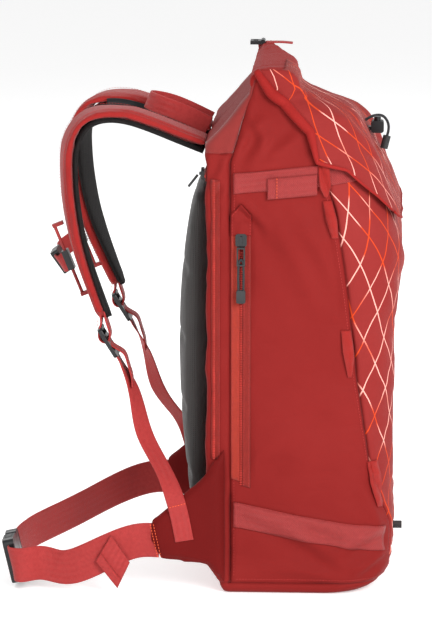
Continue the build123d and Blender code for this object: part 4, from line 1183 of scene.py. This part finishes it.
def free_band(name, route, sides, widths, thick, material, slot, *nodes, count=90, body=PACK):
    """Webbing carried whole by one body."""
    fit(band(name, route, sides, widths, thick, material, count)[0], body, slot, *nodes)


for side, mark in ((-1, "left"), (1, "right")):
    route = [(99, 201.5, 262.5), (99, 195.5, 256.5), (99.6, 190.4, 248), (103, 176.4, 217.6),
             (114, 164, 172), (131, 144, 138), (148.5, 130, 110), (150.5, 124, 88), (150.5, 119, 62)]
    sides = [(1, 0, 0), (1, 0, 0), (1, 0, 0), (0.8, 0.5, 0.1), (0.35, 0.9, 0.3), (0.15, 0.92, 0.36),
             (0, 0.95, 0.3), (0, 0.97, 0.2), (0, 0.98, 0.15)]
    route = [(side * x, y, z) for x, y, z in route]
    sides = [(x, side * y, side * z) for x, y, z in sides]
    strap, lines = band(f"load_webbing_{mark}", route, sides, [20] * 9, 1.7, web_red, 140)
    points, across = lines[0], lines[2]
    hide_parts(f"{mark}_load_webbing")
    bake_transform(strap)
    out = np.broadcast_to(np.array([side * 1.0, 0, 0]), (9, 3))
    k = int(np.argmin(np.abs(points[:, 2] - 101)))
    line = points[k] + across[k] * np.linspace(-9, 9, 9)[:, None] + out * 1.1
    orange_rows.append((line, out))
    tail_route = [(99, 204, 271), (99, 199, 266), (99, 193, 262), (99, 187, 258), (99.5, 182, 246),
                  (100.5, 178, 232), (102, 177, 220)]
    tail, _ = band(f"load_webbing_tail_{mark}", [(side * x, y, z) for x, y, z in tail_route],
                   [(1, 0, 0)] * 7, [20] * 7, 1.7, web_red, 60)
    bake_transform(tail)
    tab_route = [(98.4, 212.8, 303), (99, 210.6, 291), (99, 212.8, 281), (99, 210.5, 271), (99, 206, 269.4),
                 (99, 202.0, 273), (99, 201.4, 280), (99, 204.6, 291), (98.4, 207.4, 303)]
    tab, _ = band(f"end_tab_{mark}", [(side * x, y, z) for x, y, z in tab_route],
                  [(1, 0, 0)] * 9, [21] * 9, 2.2, web_red, 80)
    fit(tab, PACK, "webbing_red", f"{mark}_end_tab")
    cross = np.linspace(-9, 9, 12)[:, None] * np.array([1.0, 0, 0])
    for z in (287, 291):
        outwards = np.broadcast_to(np.array([0, 1.0, 0]), (12, 3))
        orange_rows.append((np.array([side * 99, 214.9, z]) + cross, outwards))

AT_BUCKLE = [(0, 0.225, 0.974)] * 2
route = [(-142.5, 146, 60), (-142.5, 166, 60), (-146.5, 196, 51), (-145.5, 226, 36), (-138.5, 252, 28),
         (-133.5, 275, 31), (-139.1, 299, 29.5), (-131, 307, 29.5), (-126, 307, 29.5)]
free_band("waist_webbing_left", route, [(0, 0, 1)] * 7 + AT_BUCKLE, [38] * 9, 1.8, web_red,
          "webbing_red", "left_waist_webbing", count=150)
route = [(142.5, 146, 60), (142.5, 168, 60), (128.5, 204, 52), (85, 244, 40), (35, 278, 33),
         (-20, 303, 30), (-66, 307, 29.5), (-73, 307, 29.5)]
free_band("waist_webbing_right", route, [(0, 0, 1)] * 6 + AT_BUCKLE, [38] * 8, 1.8, web_red,
          "webbing_red", "right_waist_webbing", count=150)
corners = np.array([[(198, 67), (178, 37)], [(214, 39), (191, 9)]], float)
s, t = np.meshgrid(np.linspace(0, 1, 40), np.linspace(0, 1, 20), indexing="ij")
flat = (corners[0, 0] * (1 - s[..., None]) + corners[1, 0] * s[..., None]) * (1 - t[..., None]) + \
    (corners[0, 1] * (1 - s[..., None]) + corners[1, 1] * s[..., None]) * t[..., None]
grid = np.stack([-149.6 - 1.2 * np.sin(np.pi * s) + 0.8 * t, flat[..., 0], flat[..., 1]], -1)
tail_uv = np.stack([s * 32, (t - 0.5) * 36], -1) * MM
tail = mesh_from("waist_webbing_tail", grid, grid_faces(40, 20), web_red, tail_uv)
face_away(tail, (0, 200, 40))
thicken(tail, 1.8, 1.0)
fit(tail, PACK, "webbing_red")
hem = mesh_from("waist_webbing_tail_hem", grid[27:] + np.array([-1.9, 0, 0]), grid_faces(13, 20), web_red,
                tail_uv[27:])
face_away(hem, (0, 200, 40))
thicken(hem, 1.6, 1.0)
fit(hem, PACK, "webbing_red")
out = np.broadcast_to(np.array([-1.0, 0, 0]), (20, 3))
red_rows.append((grid[29] + out * 3.6, out))
red_rows.append((grid[37] + out * 3.6, out))

route = [(-20, 99, 492), (-20, 124, 504), (-18, 148, 513), (0, 166, 518), (18, 148, 513), (20, 124, 504),
         (20, 99, 492)]
free_band("carry_loop", route, [(0, -0.4, 0.92)] * 7, [20] * 7, 2.6, web_red, "webbing_red", "haul_loop",
          count=120)

CHEST_AT = (-32, 259, 346)
for side, mark in ((-1, "left"), (1, "right")):
    start = np.array([side * 73, 247.5, 355.0])
    end = np.array([CHEST_AT[0] + side * 17.1, CHEST_AT[1], CHEST_AT[2]])
    inward = np.array([-side * 6.0, 0, 0])
    middle = (start + end) / 2 + np.array([0, 2 if side < 0 else 10, -4])
    free_band(f"chest_webbing_{mark}", [start, start + inward, middle, end - inward, end],
              [(0, 0.37, 0.93), (0, 0.37, 0.93), (0, 0.47, 0.88), (0, 0.57, 0.82), (0, 0.57, 0.82)], [20] * 5, 1.8,
              web_red, "webbing_red", f"{mark}_chest_webbing", count=70, body="chest_strap")

low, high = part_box("roll_tab")
low, high = np.array(low) / MM, np.array(high) / MM
middle_x = (low[0] + high[0]) / 2
route = [(middle_x, low[1], high[2] - 1), (middle_x, low[1] + 12, high[2]), (middle_x, high[1] - 6, high[2]),
         (middle_x, high[1], high[2])]
free_band("roll_fastener_tab", route, [(1, 0, 0)] * 4, [high[0] - low[0]] * 4, 1.4, web_red, "cord_black",
          "roll_tab", count=40, body=LID)

fit(stitches("orange_stitching", orange_rows, thread_orange), PACK, "zip_red")
fit(stitches("seam_stitching", red_rows, thread_red, thick=0.3), PACK, "webbing_red")


# Floor and light

plane = bpy.data.meshes.new("floor")
plane.from_pydata([(-30, -30, 0), (30, -30, 0), (30, 30, 0), (-30, 30, 0)], [], [(0, 1, 2, 3)])
floor_finish = Finish("floor", (0.88, 0.88, 0.88), 0.9, Emission_Color=(1, 1, 1, 1), Emission_Strength=0.36)
floor_finish.join(floor_finish.ramp(floor_finish.noise(3, 2), 0.3, 0.7, 0.88, 0.94), "Roughness")
add("floor", plane, floor_finish.material)


def lamp(name, where, size, watts):
    """Soft square light that looks at the middle of the bag."""
    light = bpy.data.lights.new(name, "AREA")
    light.size = size
    light.energy = watts
    thing = add(name, light)
    thing.location = where
    thing.rotation_euler = (Vector(where) - Vector((0, 0, 0.3))).to_track_quat("Z", "Y").to_euler()


lamp("key", (-2.3, -1.3, 1.5), 1.2, 84)
lamp("fill", (-2.6, 1.4, 1.1), 2.0, 22)
lamp("rim", (1.6, 1.4, 1.9), 1.6, 30)
lamp("front_right", (1.8, -1.8, 1.2), 2.0, 22)
sky = bpy.data.worlds.new("studio")
sky.use_nodes = True
sky.node_tree.nodes["Background"].inputs["Color"].default_value = (1, 1, 1, 1)
sky.node_tree.nodes["Background"].inputs["Strength"].default_value = 0.62
bpy.context.scene.world = sky
